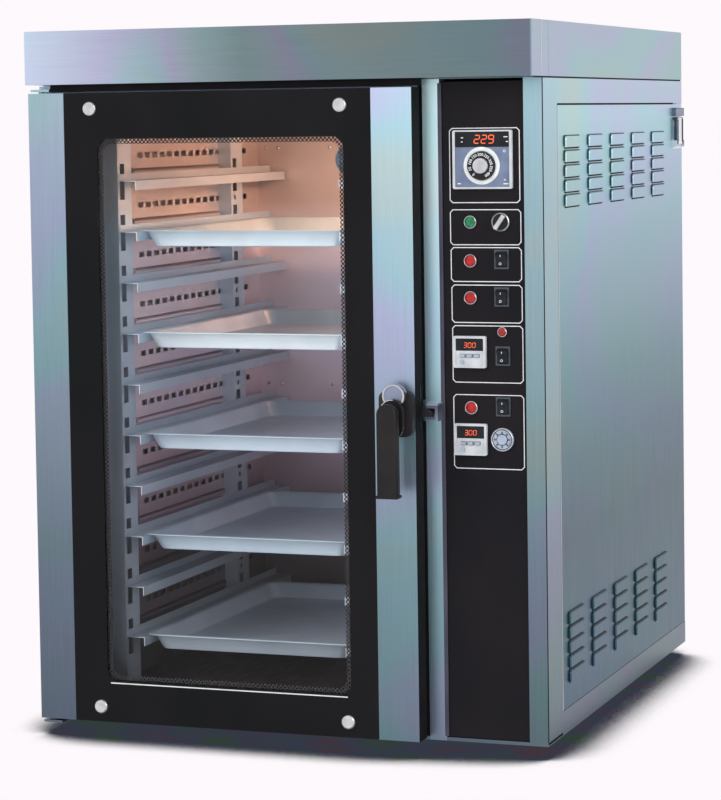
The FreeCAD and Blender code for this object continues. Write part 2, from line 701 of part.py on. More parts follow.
def hexagon(x, z, r):
    return [(x + r * math.cos(math.radians(60 * k)), z + r * math.sin(math.radians(60 * k)))
            for k in range(6)]


def make_probe():
    y, z = PROBE_AT
    sleeve = rod_x(CAVITY_RIGHT - 14, MOTOR_X0 + 10, y, z, 3)
    head = rod_x(MOTOR_X0 + 10, MOTOR_X0 + 34, y, z, 7)
    flange = rod_x(CAVITY_RIGHT - 2, CAVITY_RIGHT, y, z, 9)
    node("temperature_probe", fused(sleeve, head, flange))


# ---- controls -------------------------------------------------------------------
FACE = PANEL_RECESS


def centred_box(at, size, y0, y1):
    x, z = at
    return box(x - size[0] / 2, x + size[0] / 2, y0, y1, z - size[1] / 2, z + size[1] / 2)


def make_control_panel():
    plate = fused(
        box(PANEL_LEFT, PANEL_RIGHT, FACE, FACE + 2, FLOOR + 6, CABINET_TOP - 5),
        box(PANEL_LEFT, PANEL_LEFT + 2, FACE, FACE + 22, FLOOR + 6, CABINET_TOP - 5),
        box(PANEL_LEFT, PANEL_RIGHT, FACE, FACE + 22, FLOOR + 6, FLOOR + 8),
    )
    holes = [centred_box(CONTROLLER_AT, (92, 88), 0, 10)]
    for at in (STEAM_TIMER_AT, BAKE_TIMER_AT):
        holes.append(centred_box(at, (46, 46), 0, 10))
    for at in ROCKERS_AT.values():
        holes.append(centred_box(at, (22, 29), 0, 10))
    for x, z, r in PILOT_LAMPS:
        holes.append(rod_y(0, 10, x, z, 6))
    holes.append(rod_y(0, 10, SELECTOR_AT[0], SELECTOR_AT[1], 4 + RUNNING_GAP))
    holes.append(rod_y(0, 10, BUZZER_AT[0], BUZZER_AT[1], 14))
    node("control_panel", plate.cut(holes))


DIAL_SHAFT_R = 3.0
DISPLAY_SIZE = (84.0, 25.0)


def make_controller():
    bezel = centred_box(CONTROLLER_AT, CONTROLLER_SIZE, FACE - 7, FACE)
    case = centred_box(CONTROLLER_AT, (91.6, 87.6), FACE, FACE + 70)
    ring = rod_y(FACE - 8.5, FACE - 7, DIAL_AT[0], DIAL_AT[1], 32)
    body = fused(bezel, case, ring)
    shaft_hole = rod_y(FACE - 10, FACE + 12, DIAL_AT[0], DIAL_AT[1], DIAL_SHAFT_R + RUNNING_GAP)
    window_at = (CONTROLLER_AT[0], CONTROLLER_AT[1] + CONTROLLER_SIZE[1] / 2 - 14)
    recess = centred_box(window_at, DISPLAY_SIZE, FACE - 8, FACE - 5)
    display = centred_box(window_at, (DISPLAY_SIZE[0] - 0.2, DISPLAY_SIZE[1] - 0.2),
                          FACE - 6.6, FACE - 5)
    node("temperature_controller", body.cut([shaft_hole, recess]), display)


def make_temperature_dial():
    x, z = DIAL_AT
    face = FACE - 8.5
    skirt = rod_y(face - 4.5, face - 0.5, x, z, 24)
    knob = rod_y(face - 9, face - 4.5, x, z, 13.5)
    shaft = rod_y(face - 1, face + 16, x, z, DIAL_SHAFT_R)
    pointer = box(x - 1, x + 1, face - 9.6, face - 9, z + 2, z + 12.5)
    node("temperature_dial", fused(skirt, knob, shaft, pointer))


KEY_STRIP_DROP = 6.4
KEY_XS = (-12.5, 0.0, 12.5)
ROUND_KEY_PLACE = (-13.5, -16.5)
KEY_GAP = 0.3


def key_box(x, z, offset, y0, y1, spare=0.0):
    size = (8.0 + 2 * spare, 5.0 + 2 * spare)
    return centred_box((x + offset, z - KEY_STRIP_DROP), size, y0, y1)


def make_timers():
    cases = []
    for name, at in (("steam", STEAM_TIMER_AT), ("bake", BAKE_TIMER_AT)):
        x, z = at
        bezel = centred_box(at, TIMER_SIZE, FACE - 8, FACE)
        case = centred_box(at, (45.6, 45.6), FACE, FACE + 60)
        window_at = (x, z + 12)
        cuts = [centred_box(window_at, (46, 24), FACE - 9, FACE - 6)]
        for offset in KEY_XS:
            cuts.append(key_box(x, z, offset, FACE - 9, FACE - 2, KEY_GAP))
        cuts.append(centred_box((x, z - KEY_STRIP_DROP), (38, 8), FACE - 5.4, FACE - 2))
        round_x = x + ROUND_KEY_PLACE[0]
        round_z = z + ROUND_KEY_PLACE[1]
        cuts.append(rod_y(FACE - 9, FACE - 2, round_x, round_z, 3.5 + KEY_GAP))
        cases.append(fused(bezel, case).cut(cuts))
        cases.append(centred_box(window_at, (45.8, 23.8), FACE - 7.5, FACE - 6))
        web = centred_box((x, z - KEY_STRIP_DROP), (37, 7), FACE - 4.4, FACE - 3.4)
        caps = [key_box(x, z, offset, FACE - 9, FACE - 3.4) for offset in KEY_XS]
        node(name + "_timer_keypad", fused(web, *caps))
        node(name + "_timer_start_key", rod_y(FACE - 9, FACE - 3, round_x, round_z, 3.5))
    node("timers", *cases)


ROCKER_PIVOT_Y = 2.5
ROCKER_PIN_R = 1.5


def make_rockers():
    housings = []
    for name, at in ROCKERS_AT.items():
        x, z = at
        bezel = centred_box(at, ROCKER_BEZEL, FACE - 2.5, FACE)
        case = centred_box(at, (21.6, 28.6), FACE, FACE + 24)
        well = centred_box(at, (19.0, 26.4), FACE - 5, FACE + 14)
        bearing = rod_x(x - 10.2, x + 10.2, ROCKER_PIVOT_Y, z, ROCKER_PIN_R + RUNNING_GAP)
        housings.append(fused(bezel, case).cut(well).cut(bearing))
        key = prism_x([(-8.5, z - 14), (-4.2, z), (-8.5, z + 14), (7.5, z + 14), (7.5, z - 14)],
                      x - 9.2, x + 9.2)
        key.translate(V(0, ROCKER_PIVOT_Y - 1.0, 0))
        key = key.common(rod_x(x - 9.2, x + 9.2, ROCKER_PIVOT_Y, z, 12.8))
        pins = rod_x(x - 10.1, x + 10.1, ROCKER_PIVOT_Y, z, ROCKER_PIN_R)
        key = fused(key, pins)
        key.rotate(V(x, ROCKER_PIVOT_Y, z), X_AXIS, ROCKER_TURN)
        node(name, key)
    node("rocker_housings", *housings)


def make_pilot_lamps():
    lamps = []
    for x, z, r in PILOT_LAMPS:
        lamps.append(fused(
            rod_y(FACE - 4, FACE, x, z, r),
            rod_y(FACE - 6, FACE - 4, x, z, r - 2.5),
            rod_y(FACE, FACE + 26, x, z, 6),
        ))
    node("pilot_lamps", *lamps)


def make_selector():
    x, z = SELECTOR_AT
    knob = rod_y(FACE - 7, FACE - 0.5, x, z, 16)
    wing = box(x - 4, x + 4, FACE - 15, FACE - 7, z - 15, z + 15)
    wing.rotate(V(x, 0, z), Y_AXIS, 35)
    shaft = rod_y(FACE - 1, FACE + 16, x, z, 4)
    node("power_selector", fused(knob, wing, shaft))


def make_buzzer():
    x, z = BUZZER_AT
    rim = rod_y(FACE - 5, FACE, x, z, 19.6)
    hub = rod_y(FACE - 6.5, FACE - 5, x, z, 8.7)
    case = rod_y(FACE, FACE + 28, x, z, 14)
    buzzer = fused(rim, hub, case)
    slots = []
    for index in range(8):
        slot = box(x - 1.6, x + 1.6, FACE - 7, FACE - 2, z + 10.2, z + 17)
        slot.rotate(V(x, 0, z), Y_AXIS, 45 * index)
        slots.append(slot)
    node("buzzer", buzzer.cut(slots))


# ---- door -------------------------------------------------------------------------
BOLT_PLACES = ((-345.0, 57.0), (-345.0, 1116.0), (122.0, 57.0), (122.0, 1116.0))
BOLT_SHANK_R = 4.0
GLASS_T = 5.0
FRAME_FRONT = DOOR_FRONT + GLASS_T
LATCH_POCKET = 178.5


def frame_member(x0, x1, z0, z1):
    """A sheet channel of the door's inner frame, open towards the glass."""
    return folded(x0, x1, FRAME_FRONT, DOOR_BACK, z0, z1, "-y")


def inner_glass_tab(x, z, dx, dz):
    """A bent tab on the back of the frame that holds an edge of the inner glass."""
    back = DOOR_BACK + 5.3
    if dx:
        leg = box(min(x, x + dx * 8), max(x, x + dx * 8), DOOR_BACK, back, z - 12, z + 12)
        tip = box(min(x, x - dx * 8), max(x, x - dx * 8), back - 1, back, z - 12, z + 12)
    else:
        leg = box(x - 12, x + 12, DOOR_BACK, back, min(z, z + dz * 8), max(z, z + dz * 8))
        tip = box(x - 12, x + 12, back - 1, back, min(z, z - dz * 8), max(z, z - dz * 8))
    return leg.fuse(tip)


INNER_GLASS = (-356.0, 151.0, 82.0, 1086.0)


def make_door_frame():
    left_x, right_x, low_z, high_z = INNER_GLASS
    gap = 0.2
    frame_left = DOOR_LEFT + 3
    low = DOOR_BOTTOM + 2
    high = DOOR_TOP - 2
    left = frame_member(frame_left, WINDOW_LEFT, WINDOW_BOTTOM, WINDOW_TOP)
    left = left.fuse([inner_glass_tab(left_x - gap, z, -1, 0) for z in (250, 584, 920)])
    right = fused(
        frame_member(WINDOW_RIGHT, LATCH_POCKET, WINDOW_BOTTOM, WINDOW_TOP),
        box(LATCH_POCKET - 1, DOOR_RIGHT - SHEET, DOOR_BACK - SHEET, DOOR_BACK,
            WINDOW_BOTTOM, WINDOW_TOP),
    )
    right = right.fuse([inner_glass_tab(right_x + gap, z, 1, 0) for z in (250, 584, 920)])
    top = fused(
        frame_member(frame_left, DOOR_RIGHT - SHEET, WINDOW_TOP, high),
        inner_glass_tab(TRAY_CENTRE_X, high_z + gap, 0, 1),
        hinge_block(high - 34, high),
    )
    bottom = fused(
        frame_member(frame_left, DOOR_RIGHT - SHEET, low, WINDOW_BOTTOM),
        inner_glass_tab(TRAY_CENTRE_X, low_z - gap, 0, -1),
        hinge_block(low, low + 34),
    )
    holes = [rod_z(DOOR_BOTTOM, DOOR_BOTTOM + 40, HINGE_X, HINGE_Y, BUSH_R),
             rod_z(DOOR_TOP - 40, DOOR_TOP, HINGE_X, HINGE_Y, BUSH_R)]
    sockets = {bottom: [], top: []}
    for x, z in BOLT_PLACES:
        owner = bottom if z < WINDOW_BOTTOM else top
        sockets[owner].append(rod_y(FRAME_FRONT, DOOR_BACK, x, z, 9))
        holes.append(rod_y(DOOR_FRONT, DOOR_BACK - 4, x, z, BOLT_SHANK_R))
    bottom = bottom.fuse(sockets[bottom]).cut(holes)
    top = top.fuse(sockets[top]).cut(holes)
    node("door_frame", left, right, top, bottom)


BUSH_R = 8.0


def hinge_block(z0, z1):
    """The solid block at each end of the hinge upright that holds a bush."""
    return box(DOOR_LEFT + 3, DOOR_LEFT + 33, FRAME_FRONT, DOOR_BACK, z0, z1)


def make_hinge_bushes():
    bore_r = HINGE_PIN_R + RUNNING_GAP
    top = rod_z(DOOR_TOP - 36, DOOR_TOP, HINGE_X, HINGE_Y, BUSH_R)
    top = top.cut(rod_z(DOOR_TOP - 37, DOOR_TOP + 1, HINGE_X, HINGE_Y, bore_r))
    bottom = rod_z(DOOR_BOTTOM, DOOR_BOTTOM + 36, HINGE_X, HINGE_Y, BUSH_R)
    bottom = bottom.cut(rod_z(DOOR_BOTTOM - 1, DOOR_BOTTOM + 37, HINGE_X, HINGE_Y, bore_r))
    node("hinge_bushes", top, bottom)


def make_hinge_brackets():
    """Fixed plates above and below the door, each with its pin."""
    x0 = LEFT + 2
    x1 = HINGE_X + 22
    y0 = HINGE_Y - 14
    top_plate = fused(
        box(x0, x1, y0, 0, DOOR_TOP + 3, DOOR_TOP + 7),
        box(x0, x1, -4, 0, DOOR_TOP + 3, CABINET_TOP),
        rod_z(DOOR_TOP - 30, DOOR_TOP + 3, HINGE_X, HINGE_Y, HINGE_PIN_R),
    )
    bottom_plate = fused(
        box(x0, x1, y0, 60, FLOOR - 4, FLOOR),
        rod_z(FLOOR, DOOR_BOTTOM - 0.3, HINGE_X, HINGE_Y, 9),
        rod_z(FLOOR, DOOR_BOTTOM + 30, HINGE_X, HINGE_Y, HINGE_PIN_R),
    )
    node("hinge_brackets", top_plate, bottom_plate)


TRIM_T = 1.0
TOP_SEAL_LEFT = -424.0


def tongue_slot():
    return box(DOOR_RIGHT - 4, DOOR_RIGHT + 4, TONGUE_Y0 - 2, TONGUE_Y1 + 2, HANDLE_Z - 66,
               HANDLE_Z + 18)


def make_door_stiles():
    front = DOOR_FRONT
    back = DOOR_BACK
    lip = FRAME_FRONT

    def stile(x0, x1, outer_x0):
        shell = fused(
            box(x0, x1, front, front + SHEET, DOOR_BOTTOM, DOOR_TOP),
            box(outer_x0, outer_x0 + SHEET, front, back, DOOR_BOTTOM, DOOR_TOP),
            box(x0, x1, front, back, DOOR_BOTTOM, DOOR_BOTTOM + SHEET),
            box(x0, x1, front, back, DOOR_TOP - SHEET, DOOR_TOP),
        )
        return shell

    left = stile(DOOR_LEFT, GLASS_LEFT - 0.5, DOOR_LEFT)
    left = left.fuse(box(GLASS_LEFT - 2, GLASS_LEFT - 0.5, front, lip, DOOR_BOTTOM, DOOR_TOP))
    pin_holes = [rod_z(DOOR_BOTTOM - 1, DOOR_BOTTOM + 3, HINGE_X, HINGE_Y, BUSH_R),
                 rod_z(DOOR_TOP - 3, DOOR_TOP + 1, HINGE_X, HINGE_Y, BUSH_R)]
    left = left.removeSplitter().cut(pin_holes)
    right = stile(GLASS_RIGHT + 0.5, DOOR_RIGHT, DOOR_RIGHT - SHEET)
    right = right.fuse(box(GLASS_RIGHT + 0.5, GLASS_RIGHT + 2, front, lip, DOOR_BOTTOM, DOOR_TOP))
    spindle_hole = rod_y(front - 1, front + 4, HANDLE_X, HANDLE_Z, SPINDLE_R + 1)
    right = right.removeSplitter().cut([tongue_slot(), spindle_hole])
    node("door_stiles", left, right)


def make_top_seal():
    """Black strip that closes the gap between the door's top and the hood."""
    node("top_seal", box(TOP_SEAL_LEFT, STRIP_LEFT, DOOR_FRONT + 7, 0, DOOR_TOP + 2.5,
                         CABINET_TOP + HOOD_LIFT - 0.5))


def make_glass():
    outer = box(GLASS_LEFT, GLASS_RIGHT, DOOR_FRONT, FRAME_FRONT, DOOR_BOTTOM, DOOR_TOP)
    outer = outer.cut([rod_y(DOOR_FRONT - 1, FRAME_FRONT + 1, x, z, BOLT_SHANK_R + 0.5)
                       for x, z in BOLT_PLACES])
    node("outer_glass", outer)
    x0, x1, z0, z1 = INNER_GLASS
    node("inner_glass", box(x0, x1, DOOR_BACK, DOOR_BACK + 4, z0, z1))


def make_glass_bolts():
    bolts = []
    for x, z in BOLT_PLACES:
        head = rod_y(DOOR_FRONT - 6, DOOR_FRONT, x, z, 12.5)
        rim = [edge for edge in head.Edges if edge.BoundBox.YMax < DOOR_FRONT - 5.9]
        head = head.makeFillet(2.5, rim)
        bolts.append(head.fuse(rod_y(DOOR_FRONT, DOOR_BACK - 4, x, z, BOLT_SHANK_R)))
    node("glass_bolts", *bolts)


def make_door_seals():
    """Strips on the door's back, just short of the cabinet, and one on its free edge."""
    y0 = DOOR_BACK
    y1 = -0.6
    x0 = OPENING_LEFT - SEAL_OUT
    x1 = OPENING_RIGHT + SEAL_OUT
    z0 = OPENING_BOTTOM - SEAL_OUT
    z1 = OPENING_TOP + SEAL_OUT
    edge_strip = box(DOOR_RIGHT, DOOR_RIGHT + TRIM_T, DOOR_FRONT + 1, DOOR_BACK, DOOR_BOTTOM,
                     DOOR_TOP)
    node("door_seals",
         box(x0, x0 + SEAL_W, y0, y1, z0, z1),
         box(x1 - SEAL_W, x1, y0, y1, z0, z1),
         box(x0 + SEAL_W, x1 - SEAL_W, y0, y1, z0, z0 + SEAL_W),
         box(x0 + SEAL_W, x1 - SEAL_W, y0, y1, z1 - SEAL_W, z1),
         edge_strip.cut(tongue_slot()))


# ---- latch and handle ----------------------------------------------------------------
TONGUE_Y0 = -22.0
TONGUE_Y1 = -16.0
CASE_FRONT = -62.0
CASE_LEFT = 190.0
CASE_BOTTOM = 554.0
CASE_TOP = 632.0
DISC_FRONT = -77.0
DISC_R = 20.5
ARM_FRONT = -86.0
ARM_BOTTOM = -72.0
ARM_TOP = -5.0
GRIP_BACK = -94.0
GRIP_TOP = -11.0
GRIP_BOTTOM = -170.0


def make_latch_case():
    block = box(CASE_LEFT, DOOR_RIGHT, CASE_FRONT, DOOR_FRONT, CASE_BOTTOM, CASE_TOP)
    corners = [edge for edge in block.Edges if edge.BoundBox.YLength > 10]
    block = block.makeFillet(14, corners)
    bore = rod_y(CASE_FRONT - 3, DOOR_FRONT + 1, HANDLE_X, HANDLE_Z, SPINDLE_R + RUNNING_GAP)
    hollow = box(CASE_LEFT + 6, DOOR_RIGHT - 6, CASE_FRONT + 4, DOOR_FRONT + 1, CASE_BOTTOM + 6,
                 HANDLE_Z - 24)
    node("latch_case", block.cut([bore, hollow]))


def stadium(half, top, bottom, y0, y1):
    """An upright plate across the front with round ends, level with the handle's axis."""
    x = HANDLE_X
    z = HANDLE_Z
    return fused(
        rod_y(y0, y1, x, z + top - half, half),
        rod_y(y0, y1, x, z + bottom + half, half),
        box(x - half, x + half, y0, y1, z + bottom + half, z + top - half),
    )


def make_handle():
    disc = rod_y(DISC_FRONT, CASE_FRONT - 0.5, HANDLE_X, HANDLE_Z, DISC_R)
    rim = [edge for edge in disc.Edges if edge.BoundBox.YMax < DISC_FRONT + 0.1]
    disc = disc.makeFillet(2, rim)
    shaft = rod_y(CASE_FRONT - 1, TONGUE_Y1 + 4, HANDLE_X, HANDLE_Z, SPINDLE_R)
    node("handle_spindle", disc.fuse(shaft))
    arm = stadium(21.0, ARM_TOP, ARM_BOTTOM, ARM_FRONT, DISC_FRONT)
    neck = round_block(HANDLE_X - 13, HANDLE_X + 13, GRIP_BACK - 6, ARM_FRONT, HANDLE_Z - 60,
                       HANDLE_Z - 22, 4)
    grip = stadium(17.5, GRIP_TOP, GRIP_BOTTOM, GRIP_FRONT + 1, GRIP_BACK)
    rim = [edge for edge in grip.Edges if edge.BoundBox.YLength < 0.1]
    grip = grip.makeFillet(5, rim)
    lip = round_block(HANDLE_X - 20, HANDLE_X + 20, GRIP_FRONT, GRIP_BACK + 1,
                      HANDLE_Z + GRIP_BOTTOM, HANDLE_Z + GRIP_BOTTOM + 9, 6)
    node("handle_grip", fused(arm, neck, grip, lip))
    tongue = prism_y([
        (HANDLE_X - 8, HANDLE_Z - 6),
        (HANDLE_X + 2, TONGUE_Z - 6),
        (TONGUE_TIP, TONGUE_Z - 6),
        (TONGUE_TIP, TONGUE_Z + 2),
        (TONGUE_TIP - 6, TONGUE_Z + 7),
        (HANDLE_X + 12, TONGUE_Z + 16),
        (HANDLE_X + 12, HANDLE_Z),
    ], TONGUE_Y0, TONGUE_Y1)
    hub = rod_y(TONGUE_Y0 - 3, TONGUE_Y1, HANDLE_X, HANDLE_Z, 14)
    bore = rod_y(TONGUE_Y0 - 5, TONGUE_Y1 + 1, HANDLE_X, HANDLE_Z, SPINDLE_R)
    node("latch_tongue", tongue.cut(hub), hub.cut(bore))


TONGUE_TIP = 273.0
KEEPER_LEFT = 262.0
KEEPER_RIGHT = 283.0
KEEPER_FRONT = -25.0
KEEPER_GAP = 2.0
KEEPER_BAR = 9.0
KEEPER_BOTTOM = 578.0


def make_keeper():
    """A cast catch on the jamb strip: a bar over the tongue, a cheek beside it, a foot."""
    bar_low = TONGUE_Z + 7 + KEEPER_GAP
    top = bar_low + KEEPER_BAR
    block = box(KEEPER_LEFT, KEEPER_RIGHT, KEEPER_FRONT, 0, KEEPER_BOTTOM, top)
    crest = [edge for edge in block.Edges
             if edge.BoundBox.XLength > 5 and edge.BoundBox.ZMin > top - 0.1
             and edge.BoundBox.YMax < -1]
    block = block.makeFillet(6, crest)
    pocket = box(KEEPER_LEFT - 1, KEEPER_RIGHT - 5, KEEPER_FRONT - 1, -3, KEEPER_BOTTOM - 1,
                 bar_low)
    foot = box(STRIP_LEFT + 2, KEEPER_RIGHT, -2, 0, KEEPER_BOTTOM, top)
    node("latch_keeper", fused(block.cut(pocket), foot))


# ---- side latch and screws --------------------------------------------------------------
SIDE_LATCH_Y = 953.0
SIDE_LATCH_PIVOT_Z = 1034.0
SIDE_LATCH_PIN_X = 470.2
SIDE_LATCH_HALF = 34.0
SIDE_LATCH_TOP_Z = 1087.0


def make_side_latches():
    """Toggle latches high on both sides: a base with its pin, a block above, a lever."""
    y = SIDE_LATCH_Y
    x = RIGHT
    half = SIDE_LATCH_HALF
    pivot_z = SIDE_LATCH_PIVOT_Z
    pin_x = SIDE_LATCH_PIN_X
    plate = box(x, x + 1.2, y - half, y + half, pivot_z - 11, pivot_z + 7)
    ears = [box(x, x + 8.5, y + side, y + side + 4, pivot_z - 8, pivot_z + 5)
            for side in (-half, half - 4)]
    pin = rod_y(y - half + 1, y + half - 1, pin_x, pivot_z, 1.8)
    base = fused(plate, pin, *ears)
    block = box(x, x + 8.0, y - half, y + half, SIDE_LATCH_TOP_Z, SIDE_LATCH_TOP_Z + 16)
    lever = fused(
        rod_y(y - half + 5, y + half - 5, pin_x, pivot_z, 3.6),
        box(pin_x - 1.2, pin_x + 3.0, y - 12, y + 12, pivot_z, pivot_z + 46),
        rod_z(pivot_z, SIDE_LATCH_TOP_Z - 4, pin_x, y - half + 9, 3.0),
        rod_z(pivot_z, SIDE_LATCH_TOP_Z - 4, pin_x, y + half - 9, 3.0),
        rod_y(y - half + 9, y + half - 9, pin_x, SIDE_LATCH_TOP_Z - 5, 3.0),
    )
    lever = lever.cut(rod_y(y - 40, y + 40, pin_x, pivot_z, 1.8 + RUNNING_GAP))
    node("side_latch_bases", base, block, mirrored_in_x(base, 0), mirrored_in_x(block, 0))
    node("side_latch_lever", lever)
    node("left_latch_lever", mirrored_in_x(lever, 0))


def make_panel_screws():
    """Pan-head screws of the rear panel."""
    screws = []
    low = FLOOR + SIDE_BAND + 14
    high = CABINET_TOP - TOP_BAND - 12
    for x in (-440.0, 0.0, 440.0):
        for z in (low, 600.0, high):
            head = rod_y(CABINET_D, CABINET_D + 2.2, x, z, 4.2)
            screws.append(head.fuse(rod_y(CABINET_D - 10, CABINET_D, x, z, 1.9)))
    node("panel_screws", *screws)
    return screws


def drill_for_screws(screws):
    """Screw holes through the sheets that the shanks pass."""
    for name in ("rear_panel", "frame_members"):
        drilled = []
        for solid in nodes[name]:
            near = [screw for screw in screws
                    if screw.BoundBox.intersect(solid.BoundBox)]
            drilled.append(solid.cut(near) if near else solid)
        nodes[name] = drilled


def write_nodes():
    os.makedirs("parts", exist_ok=True)
    for name, solids in nodes.items():
        placed = []
        for solid in solids:
            shape = solid.copy()
            shape.translate(V(0, -CENTRE_Y, 0))
            placed.append(shape)
        whole = Part.makeCompound(placed) if len(placed) > 1 else placed[0]
        whole.exportStep("parts/%s.step" % name)


make_base_pan()
make_feet()
make_frame_members()
make_front_posts()
make_side_panels()
make_rear_panel()
make_hood()
make_cavity_liner()
make_duct_panels()
make_insulation()
make_tray_rack()
make_trays()
make_fan()
make_fan_motor()
make_heater()
make_fan_guard()
make_lamp()
make_steam()
make_flue()
make_gland()
make_probe()
make_control_panel()
make_controller()
make_temperature_dial()
make_timers()
make_rockers()
make_pilot_lamps()
make_selector()
make_buzzer()
make_door_frame()
make_hinge_bushes()
make_hinge_brackets()
make_door_stiles()
make_top_seal()
make_glass()
make_glass_bolts()
make_door_seals()
make_latch_case()
make_handle()
make_keeper()
make_side_latches()
drill_for_screws(make_panel_screws())
write_nodes()
print(len(nodes), "nodes written")
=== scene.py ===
import math

import bmesh
import bpy
from mathutils import Matrix, Vector


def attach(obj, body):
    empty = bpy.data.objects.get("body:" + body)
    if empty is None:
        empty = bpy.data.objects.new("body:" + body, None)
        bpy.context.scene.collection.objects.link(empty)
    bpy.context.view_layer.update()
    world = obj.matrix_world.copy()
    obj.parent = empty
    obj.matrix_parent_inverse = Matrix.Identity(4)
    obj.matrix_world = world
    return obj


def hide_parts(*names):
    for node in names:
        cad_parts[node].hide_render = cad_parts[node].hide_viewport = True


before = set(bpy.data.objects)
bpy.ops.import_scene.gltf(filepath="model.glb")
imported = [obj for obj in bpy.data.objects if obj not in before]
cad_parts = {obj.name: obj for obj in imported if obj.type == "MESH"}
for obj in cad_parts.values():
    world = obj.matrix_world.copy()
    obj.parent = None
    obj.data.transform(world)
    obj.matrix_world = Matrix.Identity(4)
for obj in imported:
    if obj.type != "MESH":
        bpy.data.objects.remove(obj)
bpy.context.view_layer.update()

# Sizes are written in millimetres as a maker would read them off the oven:
# x across the front from its centre, y back from the cabinet's front plane,
# z up from the floor.
FRONT_PLANE = -466.0
FORWARD = (0, -1, 0)


def mm(x, y, z):
    return Vector((x, y + FRONT_PLANE, z)) / 1000


# ---- finishes ------------------------------------------------------------------
def new_finish(name):
    material = bpy.data.materials.new(name)
    material.use_nodes = True
    tree = material.node_tree
    return material, tree, tree.nodes["Principled BSDF"]


def noise(tree, scale, detail=3.0, offset=(0.0, 0.0, 0.0), turn=(0.0, 0.0, 0.0), warp=0.0):
    """Noise on the piece's own coordinates, stretched by scale."""
    where = tree.nodes.new("ShaderNodeTexCoord")
    mapping = tree.nodes.new("ShaderNodeMapping")
    mapping.inputs["Scale"].default_value = scale
    mapping.inputs["Location"].default_value = offset
    mapping.inputs["Rotation"].default_value = turn
    texture = tree.nodes.new("ShaderNodeTexNoise")
    texture.inputs["Scale"].default_value = 1.0
    texture.inputs["Detail"].default_value = detail
    texture.inputs["Distortion"].default_value = warp
    tree.links.new(where.outputs["Object"], mapping.inputs["Vector"])
    tree.links.new(mapping.outputs["Vector"], texture.inputs["Vector"])
    return texture.outputs["Fac"]


def tones(tree, value, colours, low=0.3, high=0.7):
    """A ramp of evenly spaced colours over the middle of a noise."""
    ramp = tree.nodes.new("ShaderNodeValToRGB")
    elements = ramp.color_ramp.elements
    while len(elements) < len(colours):
        elements.new(0.5)
    for index, colour in enumerate(colours):
        elements[index].position = low + (high - low) * index / max(1, len(colours) - 1)
        elements[index].color = (*colour, 1.0)
    tree.links.new(value, ramp.inputs["Fac"])
    return ramp.outputs["Color"]


def along(tree, axis, stops):
    """A colour that changes along one axis; stops are (place in metres, colour)."""
    where = tree.nodes.new("ShaderNodeTexCoord")
    split = tree.nodes.new("ShaderNodeSeparateXYZ")
    tree.links.new(where.outputs["Object"], split.inputs["Vector"])
    reach = tree.nodes.new("ShaderNodeMapRange")
    first, last = stops[0][0], stops[-1][0]
    reach.inputs["From Min"].default_value = first
    reach.inputs["From Max"].default_value = last
    tree.links.new(split.outputs[axis], reach.inputs["Value"])
    ramp = tree.nodes.new("ShaderNodeValToRGB")
    elements = ramp.color_ramp.elements
    while len(elements) < len(stops):
        elements.new(0.5)
    for element, (place, colour) in zip(elements, stops):
        element.position = (place - first) / (last - first)
        element.color = (*colour, 1.0)
    tree.links.new(reach.outputs["Result"], ramp.inputs["Fac"])
    return ramp.outputs["Color"]


def blended(tree, first, second, kind="MULTIPLY", amount=1.0):
    mix = tree.nodes.new("ShaderNodeMix")
    mix.data_type = "RGBA"
    mix.blend_type = kind
    mix.inputs["Factor"].default_value = amount
    tree.links.new(first, mix.inputs[6])
    tree.links.new(second, mix.inputs[7])
    return mix.outputs[2]


def spread(tree, value, low, high):
    """Turns a noise into a roughness between low and high."""
    change = tree.nodes.new("ShaderNodeMapRange")
    change.inputs["From Min"].default_value = 0.3
    change.inputs["From Max"].default_value = 0.7
    change.inputs["To Min"].default_value = low
    change.inputs["To Max"].default_value = high
    tree.links.new(value, change.inputs["Value"])
    return change.outputs["Result"]


def relief(tree, shader, value, strength, depth=0.0003):
    bump = tree.nodes.new("ShaderNodeBump")
    bump.inputs["Strength"].default_value = strength
    bump.inputs["Distance"].default_value = depth
    tree.links.new(value, bump.inputs["Height"])
    tree.links.new(bump.outputs["Normal"], shader.inputs["Normal"])


def finish(name, colours, patch, grain, rough, bumps, metal=0.0, shine=0.5, heights=None,
           depths=None):
    """Colour drifts slowly between the tones; a finer grain moves gloss and relief."""
    material, tree, shader = new_finish(name)
    shader.inputs["Metallic"].default_value = metal
    shader.inputs["Specular IOR Level"].default_value = shine
    colour = tones(tree, noise(tree, patch, 2.0), colours)
    if heights:
        colour = blended(tree, colour, along(tree, "Z", heights))
    if depths:
        colour = blended(tree, colour, along(tree, "Y", depths))
    tree.links.new(colour, shader.inputs["Base Color"])
    fine = noise(tree, grain, 4.0)
    tree.links.new(spread(tree, fine, *rough), shader.inputs["Roughness"])
    relief(tree, shader, fine, bumps)
    return material


BRUSH_REFLECTION_TONES = ((0.74, 0.95, 0.84), (0.88, 0.91, 0.92), (0.97, 0.84, 1.00),
               (0.78, 0.96, 0.93), (0.92, 0.94, 0.82))
